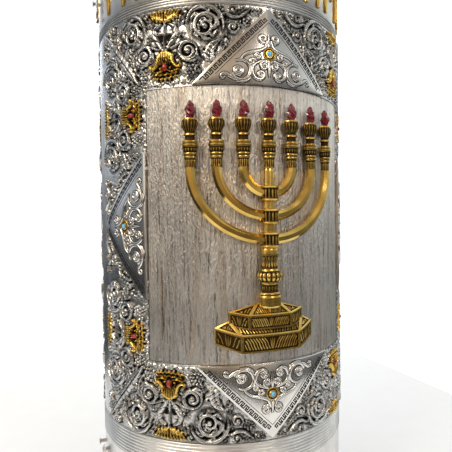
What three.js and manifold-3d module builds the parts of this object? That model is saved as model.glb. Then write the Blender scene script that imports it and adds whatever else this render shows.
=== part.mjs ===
// Torah scroll case: a hinged, hollow, round case of two half shells. The front half carries an applied
// seven-branched lamp. Millimetres, +Z up, origin on the floor at the middle of the case, front towards -Y.
import * as THREE from 'three';
import { mergeVertices } from 'three/addons/utils/BufferGeometryUtils.js';
import Module from 'manifold-3d';

const wasm = await Module();
wasm.setup();

// Driving sizes
const caseRadius = 140;
const fieldHeight = 416.5;
const panelHeight = 266;
const panelHalfAngle = 0.88;
const plinthHeight = 32;
const lowerPlainHeight = 60;
const lowerReedHeight = 26;
const upperReedHeight = 10;
const strokeBandHeight = 62;
const corniceHeight = 24;
const domeHeight = 56;
const flangeRadius = 152;
const wallInner = 129;
const wallOuter = 137.5;
const plateThickness = 8;
const gap = 0.3;
const ringSegments = 32;
const hingeAxisX = 155;
const hingeBarrelRadius = 4;
const reach = 400;

// Heights of the storeys, from the floor
const lowerReedZ = plinthHeight + lowerPlainHeight;
const fieldZ = lowerReedZ + lowerReedHeight;
const fieldTopZ = fieldZ + fieldHeight;
const strokeBandZ = fieldTopZ + upperReedHeight;
const corniceZ = strokeBandZ + strokeBandHeight + upperReedHeight;
const domeZ = corniceZ + corniceHeight;
const fieldMidZ = fieldZ + fieldHeight / 2;
const seamAngle = Math.PI / 2;

// Finishes
const finish = (color, roughness, metalness) => new THREE.MeshStandardMaterial({ color, roughness, metalness });
const silver = finish(0xc9c4b8, 0.32, 1);
const brushedSilver = finish(0xbdb8ad, 0.42, 1);
const gold = finish(0xc79a3c, 0.28, 1);
const polishedGold = finish(0xd9b04c, 0.18, 1);
const redCrystal = finish(0x7a1420, 0.12, 0);
const blueStone = finish(0x6fb0d0, 0.2, 0);
const wood = finish(0x7b5a3a, 0.6, 0);
const steel = finish(0xb0b0b0, 0.3, 1);

const model = new THREE.Group();

// Solids and booleans

function solid(geometry) {
  const bare = geometry.clone();
  bare.deleteAttribute('normal');
  bare.deleteAttribute('uv');
  const merged = mergeVertices(bare, 1e-4);
  const vertProperties = new Float32Array(merged.attributes.position.array);
  const triVerts = new Uint32Array(merged.index.array);
  return new wasm.Manifold(new wasm.Mesh({ numProp: 3, vertProperties, triVerts }));
}

function geometryOf(body) {
  const mesh = body.getMesh();
  const geometry = new THREE.BufferGeometry();
  geometry.setAttribute('position', new THREE.BufferAttribute(new Float32Array(mesh.vertProperties), 3));
  geometry.setIndex(new THREE.BufferAttribute(new Uint32Array(mesh.triVerts), 1));
  return geometry;
}

function addPiece(name, body, material) {
  const mesh = new THREE.Mesh(geometryOf(body), material);
  mesh.name = name;
  model.add(mesh);
}

// A block between two corners
function block(low, high) {
  const size = high.map((value, i) => value - low[i]);
  const geometry = new THREE.BoxGeometry(...size);
  geometry.translate(...low.map((value, i) => value + size[i] / 2));
  return solid(geometry);
}

// A turned body about Z, from [radius, height] pairs that start and end on the axis or close on themselves
function turned(profile, segments = ringSegments) {
  const points = profile.map(([r, z]) => new THREE.Vector2(r, z));
  const geometry = new THREE.LatheGeometry(points, segments);
  geometry.rotateX(Math.PI / 2);
  geometry.rotateZ(Math.PI / segments);
  const body = solid(geometry);
  return body.volume() > 0 ? body : solid(flipped(geometry));
}

function flipped(geometry) {
  const other = geometry.clone();
  const index = other.index.array;
  for (let i = 0; i < index.length; i += 3) {
    [index[i + 1], index[i + 2]] = [index[i + 2], index[i + 1]];
  }
  return other;
}

// A ring wall between two radii and heights
function ring(inner, outer, low, high) {
  return turned([[inner, low], [outer, low], [outer, high], [inner, high], [inner, low]]);
}

// A wedge from the axis outwards, within an angle range measured from -Y towards +X
function wedge(from, to, low, high) {
  const steps = Math.ceil((to - from) / 0.5);
  const shape = new THREE.Shape();
  shape.moveTo(0, 0);
  for (let i = 0; i <= steps; i += 1) {
    const angle = from + ((to - from) * i) / steps;
    shape.lineTo(reach * Math.sin(angle), -reach * Math.cos(angle));
  }
  shape.closePath();
  const geometry = new THREE.ExtrudeGeometry(shape, { depth: high - low, bevelEnabled: false });
  geometry.translate(0, 0, low);
  return solid(geometry);
}

// The part of a ring within an angle range; every ring has the same facets, so skins lie true on each other
function sector(inner, outer, low, high, from, to) {
  return ring(inner, outer, low, high).intersect(wedge(from, to, low - 1, high + 1));
}

// Applied pieces are laid out flat, with X along the arc, -Y outwards and Z up, then wrapped on the case
function wrapped(geometry) {
  const out = geometry.clone();
  const position = out.attributes.position;
  for (let i = 0; i < position.count; i += 1) {
    const angle = position.getX(i) / caseRadius;
    const r = caseRadius - position.getY(i);
    position.setXYZ(i, r * Math.sin(angle), -r * Math.cos(angle), position.getZ(i));
  }
  return out;
}

// A flat outline raised from one depth to another
function plate(outline, low, high) {
  const shape = new THREE.Shape(outline.map(([x, z]) => new THREE.Vector2(x, z)));
  const geometry = new THREE.ExtrudeGeometry(shape, { depth: high - low, bevelEnabled: false });
  geometry.rotateX(Math.PI / 2);
  geometry.translate(0, -low, 0);
  return geometry;
}

// A small turned boss or stone standing out of the case
function boss(x, z, profile, segments, squeeze = 1) {
  const points = profile.map(([r, d]) => new THREE.Vector2(r, d));
  const geometry = new THREE.LatheGeometry(points, segments);
  geometry.rotateX(Math.PI);
  geometry.rotateY(Math.PI / segments);
  geometry.scale(1, 1, squeeze);
  geometry.translate(x, 0, z);
  const body = solid(wrapped(geometry));
  return body.volume() > 0 ? body : solid(wrapped(flipped(geometry)));
}

// A turned upright piece in relief, such as a cup or stem: squeezed in depth, on an axis off the case
function uprightRelief(x, depth, profile, segments, depthScale) {
  const points = profile.map(([r, z]) => new THREE.Vector2(r, z));
  const geometry = new THREE.LatheGeometry(points, segments);
  geometry.rotateX(Math.PI / 2);
  geometry.rotateZ(Math.PI / segments);
  geometry.scale(1, depthScale, 1);
  geometry.translate(x, -depth, 0);
  const body = solid(wrapped(geometry));
  return body.volume() > 0 ? body : solid(wrapped(flipped(geometry)));
}

function sectionShape(radius, sides, squeeze = 1) {
  const shape = new THREE.Shape();
  for (let i = 0; i < sides; i += 1) {
    const angle = ((i + 0.5) * 2 * Math.PI) / sides;
    const x = radius * Math.cos(angle);
    const y = radius * squeeze * Math.sin(angle);
    if (i === 0) shape.moveTo(x, y);
    else shape.lineTo(x, y);
  }
  shape.closePath();
  return shape;
}

function swept(curve, radius, sides, steps) {
  return new THREE.ExtrudeGeometry(sectionShape(radius, sides), { steps, extrudePath: curve });
}

// A curved skin between two depths, trimmed to a flat outline
function skin(outline, low, high) {
  const heights = outline.map(([, z]) => z);
  const span = [Math.min(...heights) - 1, Math.max(...heights) + 1];
  const trim = solid(wrapped(plate(outline, -30, 30)));
  return ring(caseRadius + low, caseRadius + high, ...span).intersect(trim);
}

const unionOf = (bodies) => bodies.reduce((sum, body) => sum.add(body));

const degrees = 180 / Math.PI;
const turnBody = (body, angle) => body.rotate([0, 0, angle * degrees]);

// Structure

function carcass() {
  const outside = turned([[0, 0], [wallOuter, 0], [wallOuter, domeZ], [0, domeZ]]);
  const inside = turned([
    [0, plateThickness],
    [wallInner, plateThickness],
    [wallInner, domeZ - plateThickness],
    [0, domeZ - plateThickness],
  ]);
  return outside.subtract(inside);
}

const sheetInner = wallOuter + gap;

function plinth() {
  return turned([
    [sheetInner, 0],
    [flangeRadius, 0],
    [flangeRadius, plinthHeight * 0.42],
    [flangeRadius - 3, plinthHeight * 0.52],
    [caseRadius + 4, plinthHeight * 0.72],
    [caseRadius + 3, plinthHeight - gap],
    [sheetInner, plinthHeight - gap],
    [sheetInner, 0],
  ]);
}

// Half-round reeds as ridges on a band, as profile points from the bottom up
function reedPoints(low, height, count, crest) {
  const pitch = height / count;
  const points = [];
  for (let i = 0; i < count; i += 1) {
    points.push([caseRadius, low + i * pitch + pitch * 0.1]);
    points.push([caseRadius + crest, low + i * pitch + pitch * 0.5]);
  }
  points.push([caseRadius, low + height]);
  return points;
}

function lowerBand() {
  const top = fieldZ - gap;
  return turned([
    [sheetInner, plinthHeight],
    [caseRadius + 0.4, plinthHeight],
    [caseRadius + 0.4, lowerReedZ],
    ...reedPoints(lowerReedZ, lowerReedHeight - gap, 2, 1.4),
    [sheetInner, top],
    [sheetInner, plinthHeight],
  ]);
}

function upperBand() {
  const low = fieldTopZ + gap;
  const top = corniceZ - gap;
  return turned([
    [sheetInner, low],
    ...reedPoints(low, upperReedHeight - gap, 1, 1.3),
    [caseRadius + 0.4, strokeBandZ],
    [caseRadius + 0.4, strokeBandZ + strokeBandHeight],
    ...reedPoints(strokeBandZ + strokeBandHeight, upperReedHeight - gap, 1, 1.3),
    [sheetInner, top],
    [sheetInner, low],
  ]);
}

function cornice() {
  return turned([
    [sheetInner, corniceZ],
    [caseRadius + 2, corniceZ],
    [caseRadius + 4, corniceZ + corniceHeight * 0.35],
    [flangeRadius - 3, corniceZ + corniceHeight * 0.55],
    [flangeRadius, corniceZ + corniceHeight * 0.62],
    [flangeRadius, corniceZ + corniceHeight - gap],
    [sheetInner, corniceZ + corniceHeight - gap],
    [sheetInner, corniceZ],
  ]);
}

const domeRadius = flangeRadius - 8;
const domeWall = 2;
const finialOffset = 70;

// A low dome over the top plate, open below; each half carries a peg on a flat seat
function domeProfile(radius, low, rise, steps) {
  const points = [];
  for (let i = 0; i <= steps; i += 1) {
    const angle = (i * Math.PI) / 2 / steps;
    points.push([radius * Math.cos(angle), low + rise * Math.sin(angle)]);
  }
  return points;
}

function dome() {
  const low = domeZ + gap;
  const outside = domeProfile(domeRadius, low, domeHeight, 3);
  const inside = domeProfile(domeRadius - domeWall, low, domeHeight - domeWall, 3).reverse();
  return turned([...outside, ...inside, outside[0]]);
}

const seatZ = domeZ + domeHeight * 0.96;
const seatRadius = 16;

function domeSeat() {
  const body = turned([
    [0, domeZ + domeHeight * 0.7],
    [seatRadius, domeZ + domeHeight * 0.7],
    [seatRadius, seatZ],
    [0, seatZ],
  ], 14);
  return body.translate([0, -finialOffset, 0]);
}

function finial() {
  const foot = seatZ + gap;
  const body = turned([
    [0, foot],
    [13, foot],
    [13, foot + 4],
    [7, foot + 8],
    [5.5, foot + 22],
    [8.5, foot + 28],
    [6, foot + 35],
    [0, foot + 37],
  ], 12);
  return body.translate([0, -finialOffset, 0]);
}

// The silver relief frame round the panel, with its larger scrolls, rosettes and sprays

const panelWidth = panelHalfAngle * caseRadius;
const panelFace = caseRadius - 0.8;

class Scroll extends THREE.Curve {
  constructor(x, z, radius, start, turns) {
    super();
    Object.assign(this, { x, z, radius, start, turns });
  }

  getPoint(t) {
    const r = this.radius * (1 - 0.78 * t);
    const angle = this.start + this.turns * 2 * Math.PI * t;
    const flatX = this.x + r * Math.cos(angle);
    const theta = flatX / caseRadius;
    const out = caseRadius + 1.2;
    return new THREE.Vector3(out * Math.sin(theta), -out * Math.cos(theta), this.z + r * Math.sin(angle));
  }
}

// One corner's carving, as places in case radii from the middle of the field
const scrollPlan = [
  { x: 1.02, z: 1.34, radius: 0.12, start: 2.6, turns: 0.9 },
  { x: 1.28, z: 1.08, radius: 0.1, start: 0.8, turns: -0.9 },
  { x: 0.5, z: 1.34, radius: 0.11, start: 0.4, turns: -0.9 },
];
const rosettePlan = [
  { x: 0.715, z: 1.1, radius: 0.11 },
  { x: 1.02, z: 0.785, radius: 0.11 },
  { x: 0.715, z: 1.42, radius: 0.06 },
  { x: 1.33, z: 0.785, radius: 0.06 },
];

function carvedCorner(sideX, sideZ, scrolls, rosettes) {
  const bodies = [];
  for (const plan of scrolls) {
    const start = sideX > 0 ? plan.start : Math.PI - plan.start;
    const mirrored = sideX * sideZ;
    const curve = new Scroll(
      sideX * plan.x * caseRadius,
      fieldMidZ + sideZ * plan.z * caseRadius,
      plan.radius * caseRadius,
      sideZ > 0 ? start : -start,
      plan.turns * mirrored,
    );
    bodies.push(solid(swept(curve, 2.6, 4, 7)));
  }
  for (const plan of rosettes) {
    const r = plan.radius * caseRadius;
    const profile = [[0, -0.8], [r, -0.8], [r * 0.8, 2.6], [0, 3.6]];
    bodies.push(boss(sideX * plan.x * caseRadius, fieldMidZ + sideZ * plan.z * caseRadius, profile, 6));
  }
  return bodies;
}

function reliefFrame(scrolls, rosettes) {
  const edge = seamAngle - 0.004;
  const sheet = sector(sheetInner, caseRadius, fieldZ, fieldTopZ, -edge, edge);
  const window = sector(
    wallInner,
    caseRadius + 9,
    fieldMidZ - panelHeight / 2,
    fieldMidZ + panelHeight / 2,
    -panelHalfAngle,
    panelHalfAngle,
  );
  const corner = (sideX, sideZ) => carvedCorner(sideX, sideZ, scrolls, rosettes);
  const corners = [-1, 1].flatMap((sideX) => [-1, 1].flatMap((sideZ) => corner(sideX, sideZ)));
  return unionOf([sheet.subtract(window), ...corners]);
}

function barkPanel() {
  const slack = gap / caseRadius;
  const angle = panelHalfAngle - 1.5 * slack;
  const half = panelHeight / 2 - gap;
  return sector(sheetInner, panelFace, fieldMidZ - half, fieldMidZ + half, -angle, angle);
}

// Triangular plaques: base along the panel's edge and apex at the edge of the field

const plaqueHalfBase = 0.538 * caseRadius;
const plaqueReach = 0.527 * caseRadius;
const stoneReach = 0.213 * caseRadius;
const plaqueInset = 0.6;
const plaqueRim = 8;
const plaqueFloor = 1.9;
const plaqueHigh = 2.6;

// Outline with its base middle at the origin and apex along +Z, drawn inwards by a margin
function plaqueOutline(inset) {
  const slope = Math.hypot(plaqueHalfBase, plaqueReach) / plaqueHalfBase;
  const apex = plaqueReach - inset * slope;
  const side = (apex - inset) * (plaqueHalfBase / plaqueReach);
  return [[-side, inset], [0, inset], [side, inset], [side / 2, (inset + apex) / 2], [0, apex],
    [-side / 2, (inset + apex) / 2]];
}

const plaquePlan = [
  { name: 'top', place: ([a, b]) => [a, fieldMidZ + panelHeight / 2 + b] },
  { name: 'bottom', place: ([a, b]) => [-a, fieldMidZ - panelHeight / 2 - b] },
  { name: 'right', place: ([a, b]) => [panelWidth + b, fieldMidZ - a] },
  { name: 'left', place: ([a, b]) => [-panelWidth - b, fieldMidZ + a] },
];

function plaque(place, hasScrolls) {
  const outer = skin(plaqueOutline(plaqueInset).map(place), gap, plaqueHigh);
  const floor = skin(plaqueOutline(plaqueRim).map(place), plaqueFloor, 2 * plaqueHigh);
  const scrollBosses = [-1, 1].map((side) => {
    const [x, z] = place([side * 0.22 * caseRadius, 0.085 * caseRadius]);
    return boss(x, z, [[0, 1.2], [8, 1.2], [5, 3.4], [0, 3.4]], 6);
  });
  const [x, z] = place([0, stoneReach]);
  const seat = boss(x, z, [[0, 1.2], [8.5, 1.2], [7, 3.4], [0, 3.4]], 8);
  return unionOf([outer.subtract(floor), ...(hasScrolls ? scrollBosses : []), seat]);
}

function cabochon(place) {
  const [x, z] = place([0, stoneReach]);
  const base = 3.4 + gap;
  return boss(x, z, [[0, base], [3.4, base], [2.6, base + 1.7], [0, base + 2.4]], 8);
}

// The seven-branched lamp in relief on the front panel, set a little to the left of its middle

const lampX = -2.5;
const lampDepth = 5.2;
const armRadius = 4.9;
const armSpacing = 0.173 * caseRadius;
const armTop = fieldMidZ + 0.39 * caseRadius;
const at = (share) => fieldMidZ + share * caseRadius;

const armPlan = [
  { name: 'menorah_arm_inner', reachX: armSpacing, drop: 0.175 * caseRadius, steps: 10 },
  { name: 'menorah_arm_middle', reachX: 2 * armSpacing, drop: 0.33 * caseRadius, steps: 14 },
  { name: 'menorah_arm_outer', reachX: 3 * armSpacing, drop: 0.4875 * caseRadius, steps: 18 },
];

// A U bend between two branches: half an ellipse that lies round the case
class Arm extends THREE.Curve {
  constructor(plan) {
    super();
    this.plan = plan;
  }

  getPoint(t) {
    const angle = Math.PI * (1 + t);
    const theta = (lampX + this.plan.reachX * Math.cos(angle)) / caseRadius;
    const z = armTop - gap + this.plan.drop * Math.sin(angle);
    const out = caseRadius + lampDepth;
    return new THREE.Vector3(out * Math.sin(theta), -out * Math.cos(theta), z);
  }
}

// Trims a piece of the lamp to the face of the panel
const offPanel = (body) => body.subtract(turned([
  [0, fieldZ],
  [panelFace + gap, fieldZ],
  [panelFace + gap, fieldTopZ],
  [0, fieldTopZ],
]));

const armBody = (plan, radius) => solid(swept(new Arm(plan), radius, 8, plan.steps));

// Stem: three collars where the arms cross, a polished run between them, then bell, knop, rings and block
function stemBody() {
  const profile = [
    [0, at(-0.555)],
    [10.5, at(-0.555)],
    [10.5, at(-0.47)],
    [7, at(-0.44)],
    [8, at(-0.39)],
    [12.6, at(-0.345)],
    [8.4, at(-0.3)],
    [7.6, at(-0.2)],
    [6.4, at(-0.15)],
    [5, at(-0.14)],
    [5, armTop - gap],
    [0, armTop - gap],
  ];
  const collars = armPlan.map((plan) => {
    const z = armTop - plan.drop;
    const band = [[0, z - 6.5], [7, z - 6.5], [8, z - 5], [8, z + 5], [7, z + 6.5], [0, z + 6.5]];
    return uprightRelief(lampX, lampDepth, band, 8, 0.9);
  });
  const stem = offPanel(unionOf([uprightRelief(lampX, lampDepth, profile, 8, 0.62), ...collars]));
  return armPlan.reduce((body, plan) => body.subtract(armBody(plan, armRadius + gap)), stem);
}

// A branch top: tapering knop, neck rings and a bell cup
function cupBody(x) {
  const profile = [
    [0, at(0.39)],
    [5.2, at(0.39)],
    [7.2, at(0.5)],
    [7.2, at(0.56)],
    [4.7, at(0.58)],
    [4.9, at(0.62)],
    [7.2, at(0.67)],
    [7.2, at(0.7)],
    [0, at(0.7)],
  ];
  return uprightRelief(lampX + x, lampDepth, profile, 8, 0.68);
}

function flameBody(x) {
  const foot = at(0.7) + gap;
  const profile = [[0, foot], [2.2, foot], [5, foot + 9], [4, foot + 15], [0, foot + 20]];
  return uprightRelief(lampX + x, lampDepth, profile, 6, 0.9);
}

// One tier of the stepped foot: half a hexagon in plan, its front brought down as the depth grows
function footTier(frontHalf, fullHalf, low, high, depth, drop) {
  const shape = new THREE.Shape([
    new THREE.Vector2(lampX - fullHalf, 20),
    new THREE.Vector2(lampX - fullHalf, -1),
    new THREE.Vector2(lampX - frontHalf, -depth),
    new THREE.Vector2(lampX + frontHalf, -depth),
    new THREE.Vector2(lampX + fullHalf, -1),
    new THREE.Vector2(lampX + fullHalf, 20),
  ]);
  const geometry = new THREE.ExtrudeGeometry(shape, { depth: high - low, bevelEnabled: false });
  geometry.translate(0, 0, low);
  const position = geometry.attributes.position;
  for (let i = 0; i < position.count; i += 1) {
    position.setZ(i, position.getZ(i) + (drop * position.getY(i)) / depth);
  }
  return solid(wrapped(geometry));
}

function footBody() {
  const lower = footTier(0.2 * caseRadius, 0.375 * caseRadius, at(-0.8), at(-0.685), 10.5, 0.05 * caseRadius);
  const upper = footTier(0.148 * caseRadius, 0.275 * caseRadius, at(-0.7), at(-0.56), 8, 0.04 * caseRadius);
  const post = block([lampX - 8, -caseRadius - 6, at(-0.62)], [lampX + 8, -caseRadius - 0.5, at(-0.555) - gap]);
  return offPanel(unionOf([lower, upper, post]));
}

// Hinges on the +X side: curved leaves on the halves' plain margins, arms out to a barrel past the flanges

const leafHeight = 60;
const pinRadius = 1.6;
const knuckleBore = pinRadius + 0.3;

function cylinderZ(radius, low, high, segments = 8) {
  return turned([[0, low], [radius, low], [radius, high], [0, high]], segments);
}

function hingeLeaf(side, z) {
  const third = leafHeight / 3;
  const low = z - leafHeight / 2;
  const spans = side < 0
    ? [[low, low + third - gap], [low + 2 * third + gap, low + leafHeight]]
    : [[low + third + gap, low + 2 * third - gap]];
  const inner = caseRadius + 0.4;
  const near = 0.5 / inner;
  const far = 19 / inner;
  const leaf = side < 0
    ? sector(inner, inner + 2.6, low, low + leafHeight, seamAngle - far, seamAngle - near)
    : sector(inner, inner + 2.6, low, low + leafHeight, seamAngle + near, seamAngle + far);
  const parts = [leaf];
  for (const [from, to] of spans) {
    const edges = [side * 0.5, side * 3.3].sort((a, b) => a - b);
    parts.push(block([inner + 0.6, edges[0], from], [hingeAxisX - 1, edges[1], to]));
    parts.push(cylinderZ(hingeBarrelRadius, from, to).translate([hingeAxisX, 0, 0]));
  }
  const bore = cylinderZ(knuckleBore, low - 5, low + leafHeight + 5).translate([hingeAxisX, 0, 0]);
  return unionOf(parts).subtract(bore);
}

function hingePin(z) {
  const low = z - leafHeight / 2;
  const high = z + leafHeight / 2;
  return turned([
    [0, low - 2],
    [pinRadius, low - 2],
    [pinRadius, high + gap],
    [3, high + gap],
    [3, high + 2],
    [0, high + 2],
  ], 8).translate([hingeAxisX, 0, 0]);
}

// Clasps on the -X side: a hook on the front half hangs beside the seam, a headed stud waits on the back half

const claspOffset = 11;
const hookPlane = caseRadius + 4;
const hookThickness = 2.4;

function disc(radius, from, to, y, z, segments = 8) {
  const geometry = new THREE.CylinderGeometry(radius, radius, to - from, segments);
  geometry.rotateZ(Math.PI / 2);
  geometry.translate(-(from + to) / 2, y, z);
  return solid(geometry);
}

function claspStud(z) {
  const post = disc(2.2, caseRadius + 1, hookPlane + hookThickness + 0.9, claspOffset, z);
  const head = disc(3.4, hookPlane + hookThickness + 0.6, hookPlane + hookThickness + 1.8, claspOffset, z);
  return post.add(head);
}

function claspHook(z) {
  const span = 2 * claspOffset;
  const shape = new THREE.Shape();
  shape.moveTo(-4, 3.6);
  shape.lineTo(-4, -3.6);
  shape.lineTo(3.6, -4);
  shape.lineTo(3.6, span - 2.9);
  shape.lineTo(-2.8, span - 2.9);
  shape.lineTo(-2.8, span + 2.9);
  shape.lineTo(3.6, span + 4);
  shape.lineTo(6.2, span + 7);
  shape.lineTo(-3, span + 7);
  shape.lineTo(-5.6, span + 3);
  shape.closePath();
  // The outline's x runs towards -Y and its length hangs down, so the mouth faces -Y
  const geometry = new THREE.ExtrudeGeometry(shape, { depth: hookThickness, bevelEnabled: false });
  const hang = new THREE.Matrix4().makeBasis(
    new THREE.Vector3(0, -1, 0),
    new THREE.Vector3(0, 0, -1),
    new THREE.Vector3(1, 0, 0),
  );
  hang.setPosition(-hookPlane - hookThickness, -claspOffset, z);
  geometry.applyMatrix4(hang);
  const rivet = disc(2.2, caseRadius + 1, hookPlane + hookThickness + 0.8, -claspOffset, z);
  return solid(geometry).add(rivet);
}

// The two halves are the same turned parts cut at the seam; the back one is carved more plainly
const halves = [
  {
    name: 'front',
    isFront: true,
    turn: 0,
    space: block([-reach, -reach, -1], [reach, -gap, 2 * reach]),
    scrolls: scrollPlan,
    rosettes: rosettePlan,
  },
  {
    name: 'back',
    isFront: false,
    turn: Math.PI,
    space: block([-reach, gap, -1], [reach, reach, 2 * reach]),
    scrolls: [],
    rosettes: rosettePlan.slice(0, 2),
  },
];

for (const half of halves) {
  const cut = (body) => turnBody(body, half.turn).intersect(half.space);
  addPiece(`${half.name}_carcass`, cut(carcass()), wood);
  addPiece(`${half.name}_plinth`, cut(plinth()), brushedSilver);
  addPiece(`${half.name}_lower_band`, cut(lowerBand()), brushedSilver);
  addPiece(`${half.name}_upper_band`, cut(upperBand()), brushedSilver);
  addPiece(`${half.name}_cornice`, cut(cornice()), brushedSilver);
  addPiece(`${half.name}_dome`, cut(dome().add(domeSeat())), brushedSilver);
  addPiece(`${half.name}_finial`, turnBody(finial(), half.turn), brushedSilver);
  addPiece(`${half.name}_relief_frame`, cut(reliefFrame(half.scrolls, half.rosettes)), silver);
  addPiece(`${half.name}_panel`, turnBody(barkPanel(), half.turn), silver);
  for (const plan of plaquePlan) {
    const body = plaque(plan.place, half.isFront);
    addPiece(`${half.name}_plaque_${plan.name}`, turnBody(body, half.turn), silver);
    if (half.isFront) addPiece(`front_stone_${plan.name}`, cabochon(plan.place), blueStone);
  }
}

addPiece('menorah_foot', footBody(), gold);
addPiece('menorah_stem', stemBody(), gold);
for (const plan of armPlan) {
  addPiece(plan.name, armBody(plan, armRadius), polishedGold);
}
for (let i = 0; i < 7; i += 1) {
  const x = (i - 3) * armSpacing;
  addPiece(`menorah_cup_${i + 1}`, cupBody(x), gold);
  addPiece(`menorah_flame_${i + 1}`, flameBody(x), redCrystal);
}

const hingeHeights = { lower: fieldZ + 70, upper: fieldTopZ - 70 };
for (const [name, z] of Object.entries(hingeHeights)) {
  addPiece(`hinge_${name}_front_leaf`, hingeLeaf(-1, z), steel);
  addPiece(`hinge_${name}_back_leaf`, hingeLeaf(1, z), steel);
  addPiece(`hinge_${name}_pin`, hingePin(z), steel);
}

const claspHeights = { lower: plinthHeight + 44, upper: strokeBandZ + 36 };
for (const [name, z] of Object.entries(claspHeights)) {
  addPiece(`clasp_${name}_hook`, claspHook(z), steel);
  addPiece(`clasp_${name}_stud`, claspStud(z), steel);
}

export default model;
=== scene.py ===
import math
import bpy
import numpy as np
from mathutils import Matrix, Vector


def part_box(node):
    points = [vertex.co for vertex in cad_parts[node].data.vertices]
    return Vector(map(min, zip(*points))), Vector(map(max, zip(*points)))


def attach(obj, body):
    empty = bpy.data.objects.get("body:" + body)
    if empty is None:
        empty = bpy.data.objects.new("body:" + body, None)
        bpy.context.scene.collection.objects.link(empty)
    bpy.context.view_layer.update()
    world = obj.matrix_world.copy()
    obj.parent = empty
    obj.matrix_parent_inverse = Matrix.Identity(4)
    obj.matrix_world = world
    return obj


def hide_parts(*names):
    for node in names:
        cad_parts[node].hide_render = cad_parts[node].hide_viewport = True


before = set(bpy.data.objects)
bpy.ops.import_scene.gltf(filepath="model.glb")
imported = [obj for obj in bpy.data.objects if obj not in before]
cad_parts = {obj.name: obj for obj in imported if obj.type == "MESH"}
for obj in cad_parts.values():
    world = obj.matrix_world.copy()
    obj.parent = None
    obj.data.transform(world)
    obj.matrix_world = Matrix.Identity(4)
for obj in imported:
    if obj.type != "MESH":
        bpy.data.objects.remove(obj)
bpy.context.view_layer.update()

millimetre = 0.001

# the round body's own numbers, mostly read from the frame
ringFlat = math.cos(math.pi / 32)  # its rings have 32 flats, so a box stops a little short of the radius
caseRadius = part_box("front_relief_frame")[1][0] / ringFlat
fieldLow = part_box("front_relief_frame")[0][2]
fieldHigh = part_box("front_relief_frame")[1][2]
fieldMid = (fieldLow + fieldHigh) / 2
panelHalfHigh = (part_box("front_panel")[1][2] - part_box("front_panel")[0][2]) / 2 + 0.3 * millimetre
panelShare = 0.88  # half the panel's arc, in case radii
panelHalfWide = panelShare * caseRadius
seamGap = 0.3 * millimetre
sheetInner = -2.2 * millimetre  # back of the applied sheets, as a depth from the case radius
panelFace = -0.8 * millimetre


def at(share):
    return fieldMid + share * caseRadius


# ---------- small modelling helpers

def clearSelection():
    if bpy.context.object and bpy.context.object.mode != "OBJECT":
        bpy.ops.object.mode_set(mode="OBJECT")
    bpy.ops.object.select_all(action="DESELECT")


def selectOnly(obj):
    clearSelection()
    obj.select_set(True)
    bpy.context.view_layer.objects.active = obj


def nameAll(obj, name):
    obj.name = name
    obj.data.name = name


def getPoints(obj):
    flat = np.empty(len(obj.data.vertices) * 3)
    obj.data.vertices.foreach_get("co", flat)
    return flat.reshape(-1, 3)


def setPoints(obj, places):
    obj.data.vertices.foreach_set("co", np.ascontiguousarray(places, dtype=float).ravel())
    obj.data.update()


def editMesh(obj, *steps):
    selectOnly(obj)
    bpy.ops.object.mode_set(mode="EDIT")
    bpy.ops.mesh.select_all(action="SELECT")
    for step in steps:
        step()
    bpy.ops.object.mode_set(mode="OBJECT")


# Goes into edit mode with only the given points, or only the given faces, selected
def selectParts(obj, kind, chosen):
    mesh = obj.data
    clearSelection()
    for key, parts in (("VERT", mesh.vertices), ("EDGE", mesh.edges), ("FACE", mesh.polygons)):
        parts.foreach_set("select", chosen if key == kind else np.zeros(len(parts), dtype=bool))
    mesh.update()
    selectOnly(obj)
    bpy.ops.object.mode_set(mode="EDIT")
    bpy.ops.mesh.select_mode(type=kind)


def mergeDoubles():
    bpy.ops.mesh.remove_doubles(threshold=2e-6)


def closeHoles():
    bpy.ops.mesh.fill_holes(sides=0)


def faceOutwards():
    bpy.ops.mesh.normals_make_consistent(inside=False)


def smoothShade(obj, degrees):
    selectOnly(obj)
    bpy.ops.object.shade_smooth_by_angle(angle=math.radians(degrees))


def joinPieces(name, pieces):
    clearSelection()
    for piece in pieces:
        piece.select_set(True)
    bpy.context.view_layer.objects.active = pieces[0]
    bpy.ops.object.join()
    nameAll(pieces[0], name)
    return pieces[0]


def copyOf(obj, name):
    other = obj.copy()
    other.data = obj.data.copy()
    nameAll(other, name)
    bpy.context.scene.collection.objects.link(other)
    return other


# A grid primitive whose points are moved by a function of two shares, 0 to 1 along each side
def shapedGrid(name, across, along, shape):
    clearSelection()
    bpy.ops.mesh.primitive_grid_add(x_subdivisions=across, y_subdivisions=along, size=2)
    obj = bpy.context.object
    nameAll(obj, name)
    flat = getPoints(obj)
    setPoints(obj, np.column_stack(shape(flat[:, 0] / 2 + 0.5, flat[:, 1] / 2 + 0.5)))
    return obj


# Cuts the flat mesh across at every step of x, so that it can bend round the case
def cutAcross(obj, pitch):
    x = getPoints(obj)[:, 0]
    cuts = np.arange(math.ceil(x.min() / pitch) * pitch, x.max(), pitch)

    def cutAll():
        for cut in cuts:
            bpy.ops.mesh.select_all(action="SELECT")
            bpy.ops.mesh.bisect(plane_co=(cut, 0, 0), plane_no=(1, 0, 0))

    editMesh(obj, cutAll)


# A sheet's free edges are drawn back towards the carcass; the answer is how many points this adds
def addSkirt(obj):
    count = len(obj.data.vertices)
    editMesh(
        obj,
        lambda: bpy.ops.mesh.select_all(action="DESELECT"),
        lambda: bpy.ops.mesh.select_non_manifold(),
        lambda: bpy.ops.mesh.extrude_region_move(),
    )
    flat = getPoints(obj)
    flat[count:, 1] = sheetInner
    setPoints(obj, flat)
    return len(flat) - count


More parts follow.
